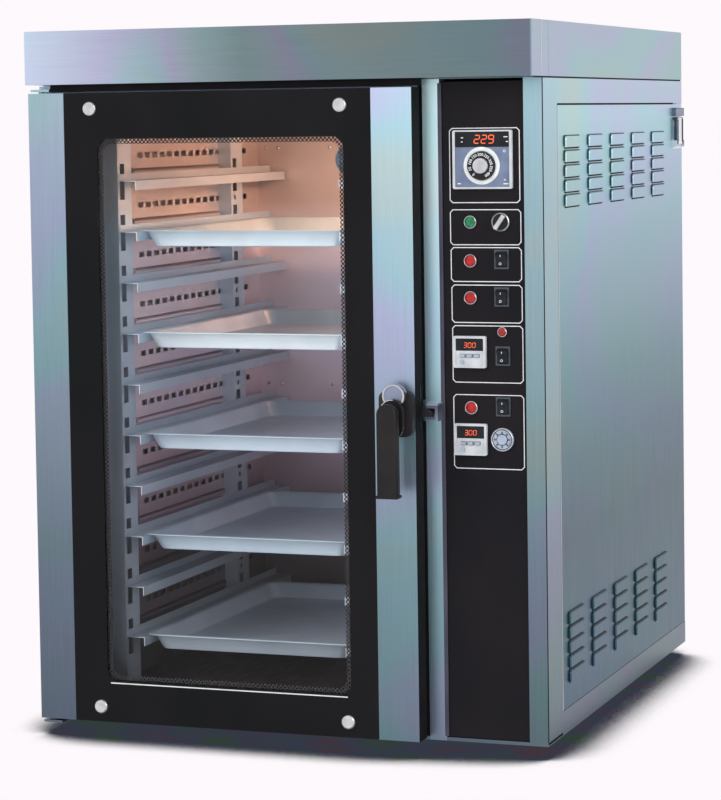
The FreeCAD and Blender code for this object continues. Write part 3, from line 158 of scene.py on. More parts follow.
# Stops of the slow colour changes over the sheet metal, which are painted light and shade: (place
# in metres, colour).
# Painted light on the front sheets: darker towards the bottom, lighter towards the top.
SKIN_LIGHT_HEIGHTS = ((0.03, (0.13, 0.18, 0.21)), (0.35, (0.19, 0.26, 0.30)),
                (0.55, (0.27, 0.36, 0.41)), (0.75, (0.35, 0.45, 0.53)),
                (0.95, (0.41, 0.53, 0.62)), (1.15, (0.49, 0.64, 0.72)))
# Painted light across the front: darker at the left, lighter towards the right stile, and lightest
# on the recessed jamb strip, which lies in shade.
SKIN_LIGHT_WIDTHS = ((-0.465, (0.82, 0.86, 0.84)), (-0.395, (0.84, 0.88, 0.86)), (0.180, (1.24,) * 3),
               (0.249, (1.30,) * 3), (0.254, (1.80,) * 3), (0.284, (1.80,) * 3),
               (0.430, (0.96,) * 3), (0.466, (0.98,) * 3))
# Painted light and shade on the right side: dark towards the bottom, light towards the top.
SIDE_LIGHT_HEIGHTS = ((0.10, (0.040, 0.118, 0.160)), (0.36, (0.040, 0.108, 0.135)),
                (0.50, (0.075, 0.160, 0.210)), (0.63, (0.130, 0.260, 0.300)),
                (0.76, (0.250, 0.370, 0.450)), (0.88, (0.320, 0.470, 0.560)),
                (1.10, (0.490, 0.700, 0.760)))
# Painted light on the hood: lighter at its left end, darker towards the right, and its right side
# face painted lighter.
HOOD_LIGHT_WIDTHS = ((-0.465, (0.62, 0.76, 0.86)), (-0.30, (0.46, 0.54, 0.62)),
               (-0.05, (0.22, 0.27, 0.30)), (0.463, (0.17, 0.22, 0.245)),
               (0.4645, (0.40, 0.53, 0.58)))


def brushed(name, brush, light_ramps, metal=0.86, rough=(0.30, 0.44), patch=(1.6, 1.6, 2.6)):
    """Brushed stainless sheet: fine streaks over slow green and violet tints that are painted
    reflections, times the given ramps of painted light and shade.
    """
    material, tree, shader = new_finish(name)
    shader.inputs["Metallic"].default_value = metal
    # Painted reflection: slow green and violet tints in the colour.
    drift = noise(tree, patch, 1.0, turn=(0.35, 0.5, 0.0), warp=0.9)
    colour = tones(tree, drift, BRUSH_REFLECTION_TONES, 0.28, 0.72)
    for axis, stops in light_ramps:
        colour = blended(tree, colour, along(tree, axis, stops))
    streak = noise(tree, brush, 5.0)
    marks = tones(tree, streak, ((0.36, 0.36, 0.36), (0.64, 0.64, 0.64)), 0.25, 0.75)
    tree.links.new(blended(tree, colour, marks, "OVERLAY", 0.35), shader.inputs["Base Color"])
    tree.links.new(spread(tree, streak, *rough), shader.inputs["Roughness"])
    relief(tree, shader, streak, 0.10)
    return material


def pane(name, colour, index):
    """Clear sheet glass: see-through head on, mirror-like at a slant."""
    material, tree, shader = new_finish(name)
    shader.inputs["Metallic"].default_value = 1.0
    smear = noise(tree, (3.0, 3.0, 2.0), 3.0)
    tree.links.new(tones(tree, smear, (colour, tuple(0.9 * c for c in colour))),
                   shader.inputs["Base Color"])
    tree.links.new(spread(tree, smear, 0.02, 0.06), shader.inputs["Roughness"])
    facing = tree.nodes.new("ShaderNodeFresnel")
    facing.inputs["IOR"].default_value = index
    tree.links.new(facing.outputs["Fac"], shader.inputs["Alpha"])
    return material


DOT_WAVES = 1200.0
DOT_SHARE = 0.25


def dotted(name):
    """Printed dots that leave glass between them: two crossing waves, cut at one level."""
    material, tree, shader = new_finish(name)
    shader.inputs["Base Color"].default_value = (0.012, 0.012, 0.014, 1.0)
    shader.inputs["Roughness"].default_value = 0.35
    where = tree.nodes.new("ShaderNodeTexCoord")
    turn = tree.nodes.new("ShaderNodeMapping")
    turn.inputs["Rotation"].default_value = (0.0, math.radians(45), 0.0)
    turn.inputs["Scale"].default_value = (DOT_WAVES, 1.0, DOT_WAVES)
    tree.links.new(where.outputs["Object"], turn.inputs["Vector"])
    split = tree.nodes.new("ShaderNodeSeparateXYZ")
    tree.links.new(turn.outputs["Vector"], split.inputs["Vector"])
    waves = []
    for axis in ("X", "Z"):
        wave = tree.nodes.new("ShaderNodeMath")
        wave.operation = "SINE"
        tree.links.new(split.outputs[axis], wave.inputs[0])
        waves.append(wave)
    both = tree.nodes.new("ShaderNodeMath")
    both.operation = "ADD"
    tree.links.new(waves[0].outputs[0], both.inputs[0])
    tree.links.new(waves[1].outputs[0], both.inputs[1])
    edge = tree.nodes.new("ShaderNodeMath")
    edge.operation = "LESS_THAN"
    edge.inputs[1].default_value = DOT_SHARE
    tree.links.new(both.outputs[0], edge.inputs[0])
    tree.links.new(edge.outputs[0], shader.inputs["Alpha"])
    return material


def glowing(name, colour, strength, depth_colour):
    material, tree, shader = new_finish(name)
    flow = noise(tree, (160.0, 160.0, 160.0), 2.0)
    tree.links.new(tones(tree, flow, (depth_colour, colour)), shader.inputs["Base Color"])
    shader.inputs["Roughness"].default_value = 0.2
    shader.inputs["Emission Color"].default_value = (*colour, 1.0)
    shader.inputs["Emission Strength"].default_value = strength
    return material


FINE = (900.0, 900.0, 900.0)
UPRIGHT = (900.0, 900.0, 9.0)
# Painted light inside the oven: the cavity warm and bright at the upper levels and darker towards
# its floor, the rack likewise, and each tray lighter or darker with the light on its level.
CAVITY_LIGHT_HEIGHTS = ((0.09, (0.07, 0.06, 0.06)), (0.30, (0.19, 0.15, 0.18)),
                  (0.45, (0.66, 0.52, 0.62)), (0.62, (1.0, 0.90, 1.0)),
                  (0.86, (0.96, 0.92, 1.0)), (0.93, (0.66, 0.56, 0.52)),
                  (1.09, (0.56, 0.48, 0.44)))
RACK_LIGHT_HEIGHTS = ((0.09, (0.40, 0.42, 0.46)), (0.45, (0.66, 0.72, 0.80)), (0.88, (0.76, 0.90, 1.0)),
                (0.95, (0.80, 0.80, 0.80)), (1.09, (0.80, 0.76, 0.74)))
TRAY_LIGHT_HEIGHTS = ((0.15, (0.62, 0.66, 0.72)), (0.35, (0.66, 0.72, 0.79)), (0.54, (0.74, 0.79, 0.86)),
                (0.72, (1.0, 1.0, 1.0)), (0.90, (0.88, 0.94, 0.97)))
steel_upright = brushed("steel_brushed_upright", UPRIGHT,
                        (("Z", SKIN_LIGHT_HEIGHTS), ("X", SKIN_LIGHT_WIDTHS)))
steel_level = brushed("steel_brushed_level", (8.0, 8.0, 900.0), (("X", HOOD_LIGHT_WIDTHS),),
                      patch=(2.2, 1.5, 2.0))
steel_side = brushed("steel_brushed_side", UPRIGHT, (("Z", SIDE_LIGHT_HEIGHTS),))
steel_plain = brushed("steel_plain", (600.0, 600.0, 20.0), (("Z", SKIN_LIGHT_HEIGHTS),))
cavity_steel = finish("cavity_steel", ((0.76, 0.68, 0.65), (0.92, 0.83, 0.79), (0.82, 0.77, 0.81)),
                      (3.0, 3.0, 5.0), (90.0, 20.0, 400.0), (0.34, 0.46), 0.0, metal=0.45,
                      heights=CAVITY_LIGHT_HEIGHTS)
rack_steel = finish("rack_steel", ((0.62, 0.65, 0.68), (0.76, 0.79, 0.82)),
                    (4.0, 4.0, 8.0), (300.0, 40.0, 90.0), (0.30, 0.42), 0.0, metal=0.5,
                    heights=RACK_LIGHT_HEIGHTS)
tray_metal = finish("tray_metal", ((0.66, 0.72, 0.76), (0.78, 0.83, 0.86), (0.70, 0.73, 0.76)),
                    (7.0, 7.0, 7.0), (220.0, 220.0, 220.0), (0.30, 0.42), 0.02, metal=0.45,
                    heights=TRAY_LIGHT_HEIGHTS)
# Polished chrome, also used for strips that make painted highlights on edges.
polished = finish("polished_chrome_and_edge_highlight", ((0.50, 0.51, 0.52), (0.66, 0.67, 0.68)),
                  (30.0, 30.0, 30.0), (700.0, 700.0, 700.0), (0.08, 0.18), 0.03, metal=1.0)
satin_bolt = finish("satin_bolt", ((0.52, 0.53, 0.54), (0.70, 0.71, 0.72)),
                    (60.0, 60.0, 60.0), (900.0, 60.0, 900.0), (0.2, 0.34), 0.05, metal=0.8)
dark_steel = finish("blackened_steel", ((0.020, 0.021, 0.026), (0.045, 0.046, 0.058)),
                    (30.0, 30.0, 30.0), (400.0, 400.0, 400.0), (0.3, 0.45), 0.1, metal=0.6)
black_glass = finish("printed_black_glass", ((0.006, 0.007, 0.008), (0.011, 0.010, 0.011)),
                     (5.0, 5.0, 3.0), (14.0, 14.0, 10.0), (0.05, 0.14), 0.0, shine=0.08)
panel_black = finish("panel_black_gloss", ((0.008, 0.008, 0.011), (0.015, 0.013, 0.015)),
                     (6.0, 6.0, 4.0), (40.0, 40.0, 20.0), (0.10, 0.22), 0.0, shine=0.08)
moulded_black = finish("moulded_black", ((0.008, 0.008, 0.009), (0.020, 0.017, 0.016)),
                       (18.0, 18.0, 12.0), FINE, (0.34, 0.5), 0.10, shine=0.2)
case_black = finish("latch_case_black", ((0.010, 0.011, 0.012), (0.034, 0.030, 0.032)),
                    (14.0, 14.0, 22.0), FINE, (0.40, 0.55), 0.15, shine=0.3)
# Black of the seals, also used for painted shade in the gaps between the sheets.
soft_black = finish("seal_and_gap_shade_black", ((0.005, 0.005, 0.006), (0.010, 0.009, 0.010)),
                    (20.0, 20.0, 20.0), (500.0, 500.0, 500.0), (0.62, 0.8), 0.15, shine=0.1)
gloss_black = finish("gloss_black", ((0.008, 0.009, 0.012), (0.016, 0.018, 0.022)),
                     (40.0, 40.0, 40.0), FINE, (0.12, 0.22), 0.03, shine=0.2)
bezel_grey = finish("rocker_bezel", ((0.045, 0.060, 0.075), (0.075, 0.092, 0.110)),
                    (60.0, 60.0, 60.0), FINE, (0.35, 0.5), 0.1, shine=0.3)
face_grey = finish("controller_face", ((0.150, 0.185, 0.290), (0.210, 0.260, 0.370)),
                   (30.0, 30.0, 30.0), FINE, (0.3, 0.45), 0.05, shine=0.2)
frame_grey = finish("instrument_frame", ((0.50, 0.53, 0.56), (0.66, 0.68, 0.70)),
                    (40.0, 40.0, 40.0), FINE, (0.3, 0.4), 0.05, shine=0.2)
# Painted shade for the groove beside the control panel.
groove_shade_violet = finish("panel_groove_shade", ((0.050, 0.046, 0.075), (0.100, 0.095, 0.130)),
                     (20.0, 20.0, 8.0), FINE, (0.4, 0.5), 0.0, shine=0.2)
# Painted shade for the creases round the louvres.
louvre_crease_shade = finish("louvre_crease_shade", ((0.012, 0.016, 0.020), (0.040, 0.050, 0.058)),
                     (20.0, 20.0, 20.0), FINE, (0.4, 0.5), 0.0, shine=0.2)
hub_blue = finish("buzzer_hub", ((0.34, 0.41, 0.52), (0.44, 0.51, 0.62)),
                  (60.0, 60.0, 60.0), FINE, (0.35, 0.5), 0.05, shine=0.2)
key_grey = finish("key_rubber", ((0.34, 0.40, 0.48), (0.44, 0.49, 0.56)),
                  (50.0, 50.0, 50.0), FINE, (0.5, 0.65), 0.1)
# White print, also used for a painted reflection at the edge of the oven's opening.
print_and_reflection_white = finish("print_and_reflection_white", ((0.70, 0.72, 0.72), (0.86, 0.87, 0.87)),
                     (60.0, 60.0, 60.0), FINE, (0.4, 0.5), 0.0, shine=0.1)
brass_body = finish("brass_fitting", ((0.50, 0.36, 0.14), (0.62, 0.46, 0.21)),
                    (25.0, 25.0, 25.0), (400.0, 400.0, 400.0), (0.25, 0.4), 0.05, metal=1.0)
wool = finish("mineral_wool", ((0.42, 0.36, 0.20), (0.58, 0.52, 0.34)),
              (40.0, 40.0, 40.0), (250.0, 250.0, 250.0), (0.85, 1.0), 0.8)
motor_grey = finish("motor_casting", ((0.06, 0.065, 0.07), (0.10, 0.105, 0.11)),
                    (20.0, 20.0, 20.0), (300.0, 300.0, 300.0), (0.4, 0.6), 0.3, metal=0.4)
heater_dark = finish("heater_sheath", ((0.05, 0.04, 0.036), (0.11, 0.085, 0.07)),
                     (18.0, 18.0, 18.0), (260.0, 260.0, 260.0), (0.45, 0.65), 0.15, metal=0.6)
# Painted light on the keeper: a painted highlight along its top edge and painted shade below it.
keeper_steel = finish("keeper_casting_painted_light", ((0.80, 0.85, 0.92), (1.0, 1.0, 1.0)),
                      (30.0, 30.0, 30.0), (400.0, 400.0, 400.0), (0.3, 0.45), 0.1, metal=0.7,
                      heights=((0.578, (0.30, 0.37, 0.43)), (0.590, (0.22, 0.25, 0.32)),
                               (0.604, (0.12, 0.13, 0.17)), (0.6065, (0.42, 0.46, 0.54)),
                               (0.609, (0.75, 0.80, 0.86))))
LEG_TONE = (0.05, 0.055, 0.08)
FULL_TONE = (1.0, 1.0, 1.0)
latch_lever = finish("side_latch_legs", ((0.70, 0.74, 0.78), (0.86, 0.88, 0.90)),
                     (60.0, 60.0, 60.0), FINE, (0.2, 0.35), 0.03, metal=0.8,
                     depths=((0.455, LEG_TONE), (0.470, LEG_TONE), (0.476, FULL_TONE),
                             (0.498, FULL_TONE), (0.503, LEG_TONE), (0.520, LEG_TONE)))
latch_block = finish("side_latch_plates", ((0.90, 0.92, 0.96), (1.0, 1.0, 1.0)),
                     (60.0, 60.0, 60.0), FINE, (0.2, 0.35), 0.03, metal=0.8,
                     heights=((1.02, (0.80, 0.83, 0.86)), (1.06, (0.70, 0.74, 0.78)),
                              (1.084, (0.10, 0.12, 0.18)), (1.099, (0.16, 0.20, 0.28)),
                              (1.103, (0.02, 0.02, 0.03))))
enamel_white = finish("lamp_reflector", ((0.66, 0.63, 0.56), (0.74, 0.71, 0.64)),
                      (30.0, 30.0, 30.0), (300.0, 300.0, 300.0), (0.3, 0.45), 0.05)
door_pane = pane("door_glass", (0.75, 0.78, 0.80), 1.18)
inner_pane = pane("inner_glass", (0.80, 0.82, 0.80), 1.12)
lamp_pane = glowing("lamp_glass", (1.0, 0.72, 0.45), 1.2, (0.9, 0.7, 0.5))
edge_dots = dotted("window_edge_dots")
lit_red = glowing("digits_red", (1.0, 0.16, 0.05), 0.75, (0.6, 0.03, 0.01))
lens_red = glowing("lens_red", (0.50, 0.012, 0.01), 0.12, (0.22, 0.004, 0.004))
lens_green = glowing("lens_green", (0.01, 0.24, 0.09), 0.15, (0.003, 0.08, 0.03))


# ---- making pieces -------------------------------------------------------------
def shade(bm, sharp=35.0):
    for face in bm.faces:
        face.smooth = len(face.verts) < 5
    for edge in bm.edges:
        if len(edge.link_faces) == 2:
            edge.smooth = edge.calc_face_angle(0.0) < math.radians(sharp)


def make_piece(name, bm, material, body, slot, *stands_for):
    """Finishes a mesh that was built in millimetres and puts it on its body."""
    bmesh.ops.remove_doubles(bm, verts=bm.verts, dist=0.001)
    bmesh.ops.recalc_face_normals(bm, faces=bm.faces)
    shade(bm)
    bmesh.ops.translate(bm, verts=bm.verts, vec=(0.0, FRONT_PLANE, 0.0))
    bmesh.ops.scale(bm, verts=bm.verts, vec=(0.001, 0.001, 0.001))
    mesh = bpy.data.meshes.new(name)
    bm.to_mesh(mesh)
    bm.free()
    piece = bpy.data.objects.new(name, mesh)
    bpy.context.scene.collection.objects.link(piece)
    piece.data.materials.append(material)
    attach(piece, body)
    if stands_for:
        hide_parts(*stands_for)
    return piece


def new_verts(made):
    """The vertices that an extrusion has added."""
    return [item for item in made["geom"] if isinstance(item, bmesh.types.BMVert)]


def block(bm, x0, x1, y0, y1, z0, z1, edge=0.0, steps=2):
    """A block with all its edges eased."""
    made = bmesh.ops.create_cube(bm, size=1.0)
    bmesh.ops.scale(bm, verts=made["verts"], vec=(x1 - x0, y1 - y0, z1 - z0))
    centre = Vector((x0 + x1, y0 + y1, z0 + z1)) / 2
    bmesh.ops.translate(bm, verts=made["verts"], vec=centre)
    verts = made["verts"]
    if edge:
        edges = list({e for v in verts for e in v.link_edges})
        eased = bmesh.ops.bevel(bm, geom=edges, offset=edge, segments=steps, profile=0.5,
                                affect="EDGES", material=-1)
        verts = list({v for f in eased["faces"] for v in f.verts} |
                     {v for v in verts if v.is_valid})
    return verts


def around(x, y, z, axis):
    """Carries a profile's own Z onto the given axis, at a place."""
    turned = Vector((0, 0, 1)).rotation_difference(Vector(axis)).to_matrix().to_4x4()
    return Matrix.Translation((x, y, z)) @ turned


def join(bm, work):
    """Adds a shape that was built on its own, and clears it."""
    mesh = bpy.data.meshes.new("part")
    work.to_mesh(mesh)
    work.free()
    bm.from_mesh(mesh)
    bpy.data.meshes.remove(mesh)


def turned(bm, profile, place, steps=40):
    """Spins (radius, height) points round their own Z and puts the shape at place."""
    work = bmesh.new()
    verts = [work.verts.new((r, 0.0, h)) for r, h in profile]
    edges = [work.edges.new(pair) for pair in zip(verts, verts[1:])]
    bmesh.ops.spin(work, geom=verts + edges, cent=(0, 0, 0), axis=(0, 0, 1), angle=math.tau,
                   steps=steps, use_merge=True)
    bmesh.ops.remove_doubles(work, verts=work.verts, dist=0.0005)
    bmesh.ops.transform(work, matrix=place, verts=work.verts)
    join(bm, work)


def round_face(bm, x0, x1, z0, z1, y, r, steps=6, first=0):
    """A flat face across the front with round corners; first 2 keeps the lower ones sharp."""
    verts = [bm.verts.new((x, y, z)) for x, z in ((x0, z0), (x1, z0), (x1, z1), (x0, z1))]
    bm.faces.new(verts)
    if r:
        bmesh.ops.bevel(bm, geom=verts[first:], offset=r, offset_type="OFFSET", segments=steps,
                        profile=0.5, affect="VERTICES", material=-1)


def slab(bm, x0, x1, z0, z1, y0, y1, r=0.0, steps=6, first=0):
    """A plate with round corners seen from the front, from y0 back to y1."""
    work = bmesh.new()
    round_face(work, x0, x1, z0, z1, y0, r, steps, first)
    pushed = bmesh.ops.extrude_face_region(work, geom=list(work.faces))
    bmesh.ops.translate(work, verts=new_verts(pushed), vec=(0, y1 - y0, 0))
    join(bm, work)


def ring_slab(bm, outer, inner, r_out, r_in, y0, y1, steps=6):
    """A plate with a window: outer and inner are (x0, x1, z0, z1)."""
    work = bmesh.new()
    for limits, r in ((outer, r_out), (inner, r_in)):
        x0, x1, z0, z1 = limits
        round_face(work, x0, x1, z0, z1, y0, r, steps)
    edges = list(work.edges)
    bmesh.ops.delete(work, geom=list(work.faces), context="FACES_ONLY")
    bmesh.ops.bridge_loops(work, edges=[e for e in edges if e.is_valid])
    pushed = bmesh.ops.extrude_face_region(work, geom=list(work.faces))
    bmesh.ops.translate(work, verts=new_verts(pushed), vec=(0, y1 - y0, 0))
    join(bm, work)


def frame_line(bm, x0, x1, z0, z1, r, wide, y, steps=1):
    """A thin raised line of paint round a zone."""
    ring_slab(bm, (x0, x1, z0, z1), (x0 + wide, x1 - wide, z0 + wide, z1 - wide),
              r, r - wide * 0.6, y - 0.2, y, steps)


SEGMENTS = {"0": "abcdef", "1": "bc", "2": "abged", "3": "abgcd", "4": "fgbc", "5": "afgcd",
            "6": "afgedc", "7": "abc", "8": "abcdefg", "9": "abcdfg"}


def lit_digits(bm, digits, x, z, width, height, y):
    """Seven-segment figures, centred on x and z, leaning a little."""
    bar = height * 0.11
    pitch = width * 1.45
    start = x - pitch * (len(digits) - 1) / 2
    for place, digit in enumerate(digits):
        cx = start + pitch * place
        for segment in SEGMENTS[digit]:
            level = {"a": 1, "d": -1, "g": 0}.get(segment)
            if level is not None:
                verts = block(bm, cx - width / 2 + bar * 0.6, cx + width / 2 - bar * 0.6,
                              y - 0.15, y, z + level * height / 2 - bar / 2,
                              z + level * height / 2 + bar / 2)
            else:
                side = 1 if segment in "bc" else -1
                up = 1 if segment in "bf" else -1
                low, high = sorted((z + up * bar * 0.4, z + up * (height / 2 - bar * 0.4)))
                verts = block(bm, cx + side * width / 2 - bar / 2,
                              cx + side * width / 2 + bar / 2, y - 0.15, y, low, high)
            for vert in verts:
                vert.co.x += (vert.co.z - z) * 0.12


def figures(bm, text, place, size):
    """Printed figures lying in the place's own XY plane."""
    curve = bpy.data.curves.new("figures", "FONT")
    curve.body = text
    curve.size = size
    curve.align_x = "CENTER"
    curve.align_y = "CENTER"
    curve.extrude = 0.1
    curve.offset = 0.012 * size
    curve.resolution_u = 2
    holder = bpy.data.objects.new("figures", curve)
    bpy.context.scene.collection.objects.link(holder)
    mesh = bpy.data.meshes.new_from_object(holder)
    mesh.transform(place)
    bm.from_mesh(mesh)
    bpy.data.objects.remove(holder)
    bpy.data.curves.remove(curve)
    bpy.data.meshes.remove(mesh)


def front_place(x, y, z, turn=0.0):
    """The place of something that faces the front, turned about its own centre."""
    return Matrix.Translation((x, y, z)) @ Matrix.Rotation(turn, 4, "Y") @ \
        Matrix.Rotation(math.radians(90), 4, "X")


# ---- door ------------------------------------------------------------------------
WINDOW = (-332.0, 127.0, 105.0, 1063.0)
WINDOW_R = 20.0
GLASS = (-395.0, 177.0, 30.0, 1144.0)
GLASS_FRONT = -47.0
GLASS_BACK = -42.0
DOT_BAND = 9.0


def make_door_glass():
    bm = bmesh.new()
    ring_slab(bm, GLASS, WINDOW, 2.0, WINDOW_R, GLASS_FRONT, GLASS_BACK)
    make_piece("glass_black_print", bm, black_glass, "door", "outer_glass", "outer_glass")
    bm = bmesh.new()
    slab(bm, *WINDOW, GLASS_FRONT + 0.05, GLASS_BACK, WINDOW_R)
    make_piece("glass_clear_window", bm, door_pane, "door", "outer_glass", "outer_glass")
    bm = bmesh.new()
    x0, x1, z0, z1 = WINDOW
    inner = (x0 + DOT_BAND, x1 - DOT_BAND, z0 + DOT_BAND, z1 - DOT_BAND)
    ring_slab(bm, WINDOW, inner, WINDOW_R, WINDOW_R - 5, GLASS_BACK + 0.02, GLASS_BACK + 0.2)
    make_piece("window_dotted_edge", bm, edge_dots, "door", "outer_glass")
    bm = bmesh.new()
    block(bm, x0 + 6.0, x1 - 6.0, GLASS_FRONT - 0.2, GLASS_FRONT, z0 - 5.8, z0 - 3.8)
    make_piece("window_lower_line", bm, print_and_reflection_white, "door", "outer_glass")


BOLTS = ((-345.0, 57.0), (-345.0, 1116.0), (122.0, 57.0), (122.0, 1116.0))


def make_bolts():
    bm = bmesh.new()
    for x, z in BOLTS:
        turned(bm, ((0.01, 4.9), (2.6, 5.0), (6.0, 5.2), (7.4, 5.9), (9.4, 5.8), (11.4, 4.6),
                    (12.4, 2.6), (12.5, 0.0), (4.0, 0.0), (4.0, -34.0), (0.01, -34.0)),
               around(x, GLASS_FRONT, z, FORWARD), 48)
    make_piece("glass_bolt_domes", bm, satin_bolt, "door", "polished_metal", "glass_bolts")


HANDLE_X = 221.0
HANDLE_Z = 625.0
# The bright rim of the arm, polished arcs that make a painted highlight: height of its centre,
# start and sweep in degrees.
RIM_HIGHLIGHT_ARCS = ((HANDLE_Z - 26.0, 8.0, 78.0), (HANDLE_Z - 51.0, 150.0, 60.0))
DISC_BASE_Y = -62.5


def eased_slab(bm, x0, x1, z0, z1, y0, y1, r, edge, steps=3, first=0):
    """A plate with round corners whose front and back rims are eased."""
    work = bmesh.new()
    slab(work, x0, x1, z0, z1, y0, y1, r, 10, first)
    bmesh.ops.recalc_face_normals(work, faces=work.faces)
    rims = [e for e in work.edges if abs(e.verts[0].co.y - e.verts[1].co.y) < 0.01]
    bmesh.ops.bevel(work, geom=rims, offset=edge, segments=steps, profile=0.5, affect="EDGES",
                    material=-1)
    join(bm, work)


def make_grip():
    """A black lever: an arm over the disc, a neck, and a long grip with a lip at its end."""
    x, z = HANDLE_X, HANDLE_Z
    bm = bmesh.new()
    eased_slab(bm, x - 20.9, x + 20.9, z - 71.9, z - 5.1, -86.0, -77.0, 20.85, 1.6)
    block(bm, x - 12.9, x + 12.9, -98.0, -84.0, z - 59.9, z - 22.1, 3.0, 3)
    eased_slab(bm, x - 17.4, x + 17.4, z - 169.0, z - 11.1, -117.0, -94.0, 16.9, 4.0, 4, 2)
    block(bm, x - 19.9, x + 19.9, -118.0, -93.1, z - 169.9, z - 164.5, 2.2, 3)
    make_piece("handle_grip_moulding", bm, moulded_black, "handle", "grip_black", "handle_grip")
    bm = bmesh.new()
    # Painted highlight: polished arcs along the arm's rim.
    for centre, start, sweep in RIM_HIGHLIGHT_ARCS:
        strip = bmesh.new()
        profile = ((x, -86.3, centre + 19.4), (x, -86.3, centre + 20.7), (x, -85.0, centre + 20.9))
        verts = [strip.verts.new(point) for point in profile]
        edges = [strip.edges.new(pair) for pair in zip(verts, verts[1:])]
        bmesh.ops.rotate(strip, verts=verts, cent=(x, 0, centre),
                         matrix=Matrix.Rotation(math.radians(start), 3, "Y"))
        bmesh.ops.spin(strip, geom=verts + edges, cent=(x, 0, centre), axis=(0, 1, 0),
                       angle=math.radians(-sweep), steps=18)
        join(bm, strip)
    make_piece("handle_arm_rim_highlight", bm, polished, "handle", "polished_metal")


def make_handle_disc():
    """Polished disc on the spindle, behind the arm: a raised rim round a brushed face."""
    bm = bmesh.new()
    turned(bm, ((16.4, 12.4), (16.8, 14.2), (18.0, 14.5), (19.6, 13.8), (20.5, 11.8), (20.5, 1.0),
                (19.5, 0.0), (7.0, 0.0), (7.0, -50.0), (0.01, -50.0)),
           around(HANDLE_X, DISC_BASE_Y, HANDLE_Z, FORWARD), 56)
    make_piece("handle_disc_rim", bm, polished, "handle", "polished_metal", "handle_spindle")
    bm = bmesh.new()
    turned(bm, ((0.01, 12.9), (10.0, 13.0), (16.4, 13.2), (16.6, 11.0)),
           around(HANDLE_X, DISC_BASE_Y, HANDLE_Z, FORWARD), 48)
    make_piece("handle_disc_face", bm, steel_plain, "handle", "polished_metal", "handle_spindle")


# ---- trays -------------------------------------------------------------------------
TRAY_LEVELS = (2, 4, 6, 8, 10)
TRAY_X = -94.0


TOP_LEVEL_Z = 988.0
LEVEL_PITCH = 90.5
TRAY_CENTRE_Y = 330.0


def level_height(level):
    """Height of a level's rails; level 1 is the highest."""
    return TOP_LEVEL_Z - LEVEL_PITCH * (level - 1)


def make_tray(index, level):
    """Pressed tray: flat floor, flared sides, a flat rim with a rolled edge."""
    rim = level_height(level) + 0.3
    rows = (
        (172.0, 272.0, -26.6), (176.6, 276.6, -25.4), (178.6, 278.6, -22.4), (187.6, 287.6, -1.4),
        (189.4, 289.4, 1.0), (192.0, 292.0, 2.0), (197.0, 297.0, 2.0), (199.4, 299.4, 1.4),
        (200.0, 300.0, 0.4), (199.2, 299.2, 0.0), (192.0, 292.0, 0.2), (189.4, 289.4, -1.6),
        (180.4, 280.4, -22.8), (178.2, 278.2, -26.6), (172.0, 272.0, -28.0),
    )
    bm = bmesh.new()
    floor = bmesh.ops.create_grid(bm, x_segments=1, y_segments=1, size=1.0)["verts"]
    bmesh.ops.scale(bm, verts=floor, vec=(172.0, 272.0, 1.0))
    bmesh.ops.translate(bm, verts=floor, vec=(0.0, 0.0, -26.6))
    bmesh.ops.bevel(bm, geom=floor, offset=18.0, offset_type="OFFSET", segments=7, profile=0.5,
                    affect="VERTICES", material=-1)
    outline = list(bm.edges)
    for (wide, deep, low), (next_wide, next_deep, high) in zip(rows, rows[1:]):
        grown = new_verts(bmesh.ops.extrude_edge_only(bm, edges=outline))
        bmesh.ops.scale(bm, verts=grown, vec=(next_wide / wide, next_deep / deep, 1.0))
        bmesh.ops.translate(bm, verts=grown, vec=(0.0, 0.0, high - low))
        ring = set(grown)
        outline = [edge for edge in bm.edges if set(edge.verts) <= ring]
    bmesh.ops.contextual_create(bm, geom=outline)
    bmesh.ops.translate(bm, verts=bm.verts, vec=(TRAY_X, TRAY_CENTRE_Y, rim))
    name = "tray_%d" % index
    make_piece(name + "_pressing", bm, tray_metal, name, "tray_metal", name)


# ---- cavity details --------------------------------------------------------------------
WALL_X = -345.0
WALL_RIGHT_X = 157.0
AIR_ROW_ABOVE_LEVEL = 38.0
FAN_Z = 590.0
FAN_REACH = 200.0
LIP_SPAN = (120.0, 520.0)


def make_air_deflectors():
    """A lip under each row of air holes on both duct walls, but not over the fan's opening."""
    bm = bmesh.new()
    for level in range(1, 11):
        row = level_height(level) + AIR_ROW_ABOVE_LEVEL
        z = row - 20.0
        for wall, side in ((WALL_X, 1), (WALL_RIGHT_X, -1)):
            if side < 0 and abs(row - FAN_Z) < FAN_REACH:
                continue
            low, high = sorted((wall, wall + side * 7.0))
            block(bm, low, high, *LIP_SPAN, z, z + 1.2)
            low, high = sorted((wall + side * 5.8, wall + side * 7.0))
            block(bm, low, high, *LIP_SPAN, z - 7.0, z + 1.2)
    make_piece("air_deflector_lips", bm, cavity_steel, "cabinet", "stainless_cavity")


BACK_WALL_Y = 740.0
RIVET_XS = (-330.0, -301.5, -192.0, 4.0, 112.0)
RIVET_ZS = (1035.0, 560.0, 130.0)


def make_rivets():
    """Dome-headed rivets in the cavity's back wall."""
    bm = bmesh.new()
    dome = ((0.01, 1.7), (1.6, 1.5), (3.0, 0.9), (3.6, 0.0))
    for x in RIVET_XS:
        for z in RIVET_ZS:
            turned(bm, dome, around(x, BACK_WALL_Y, z, FORWARD), 12)
    make_piece("back_wall_rivets", bm, polished, "cabinet", "polished_metal")


# ---- control column ---------------------------------------------------------------------
PANEL_Y = 3.0
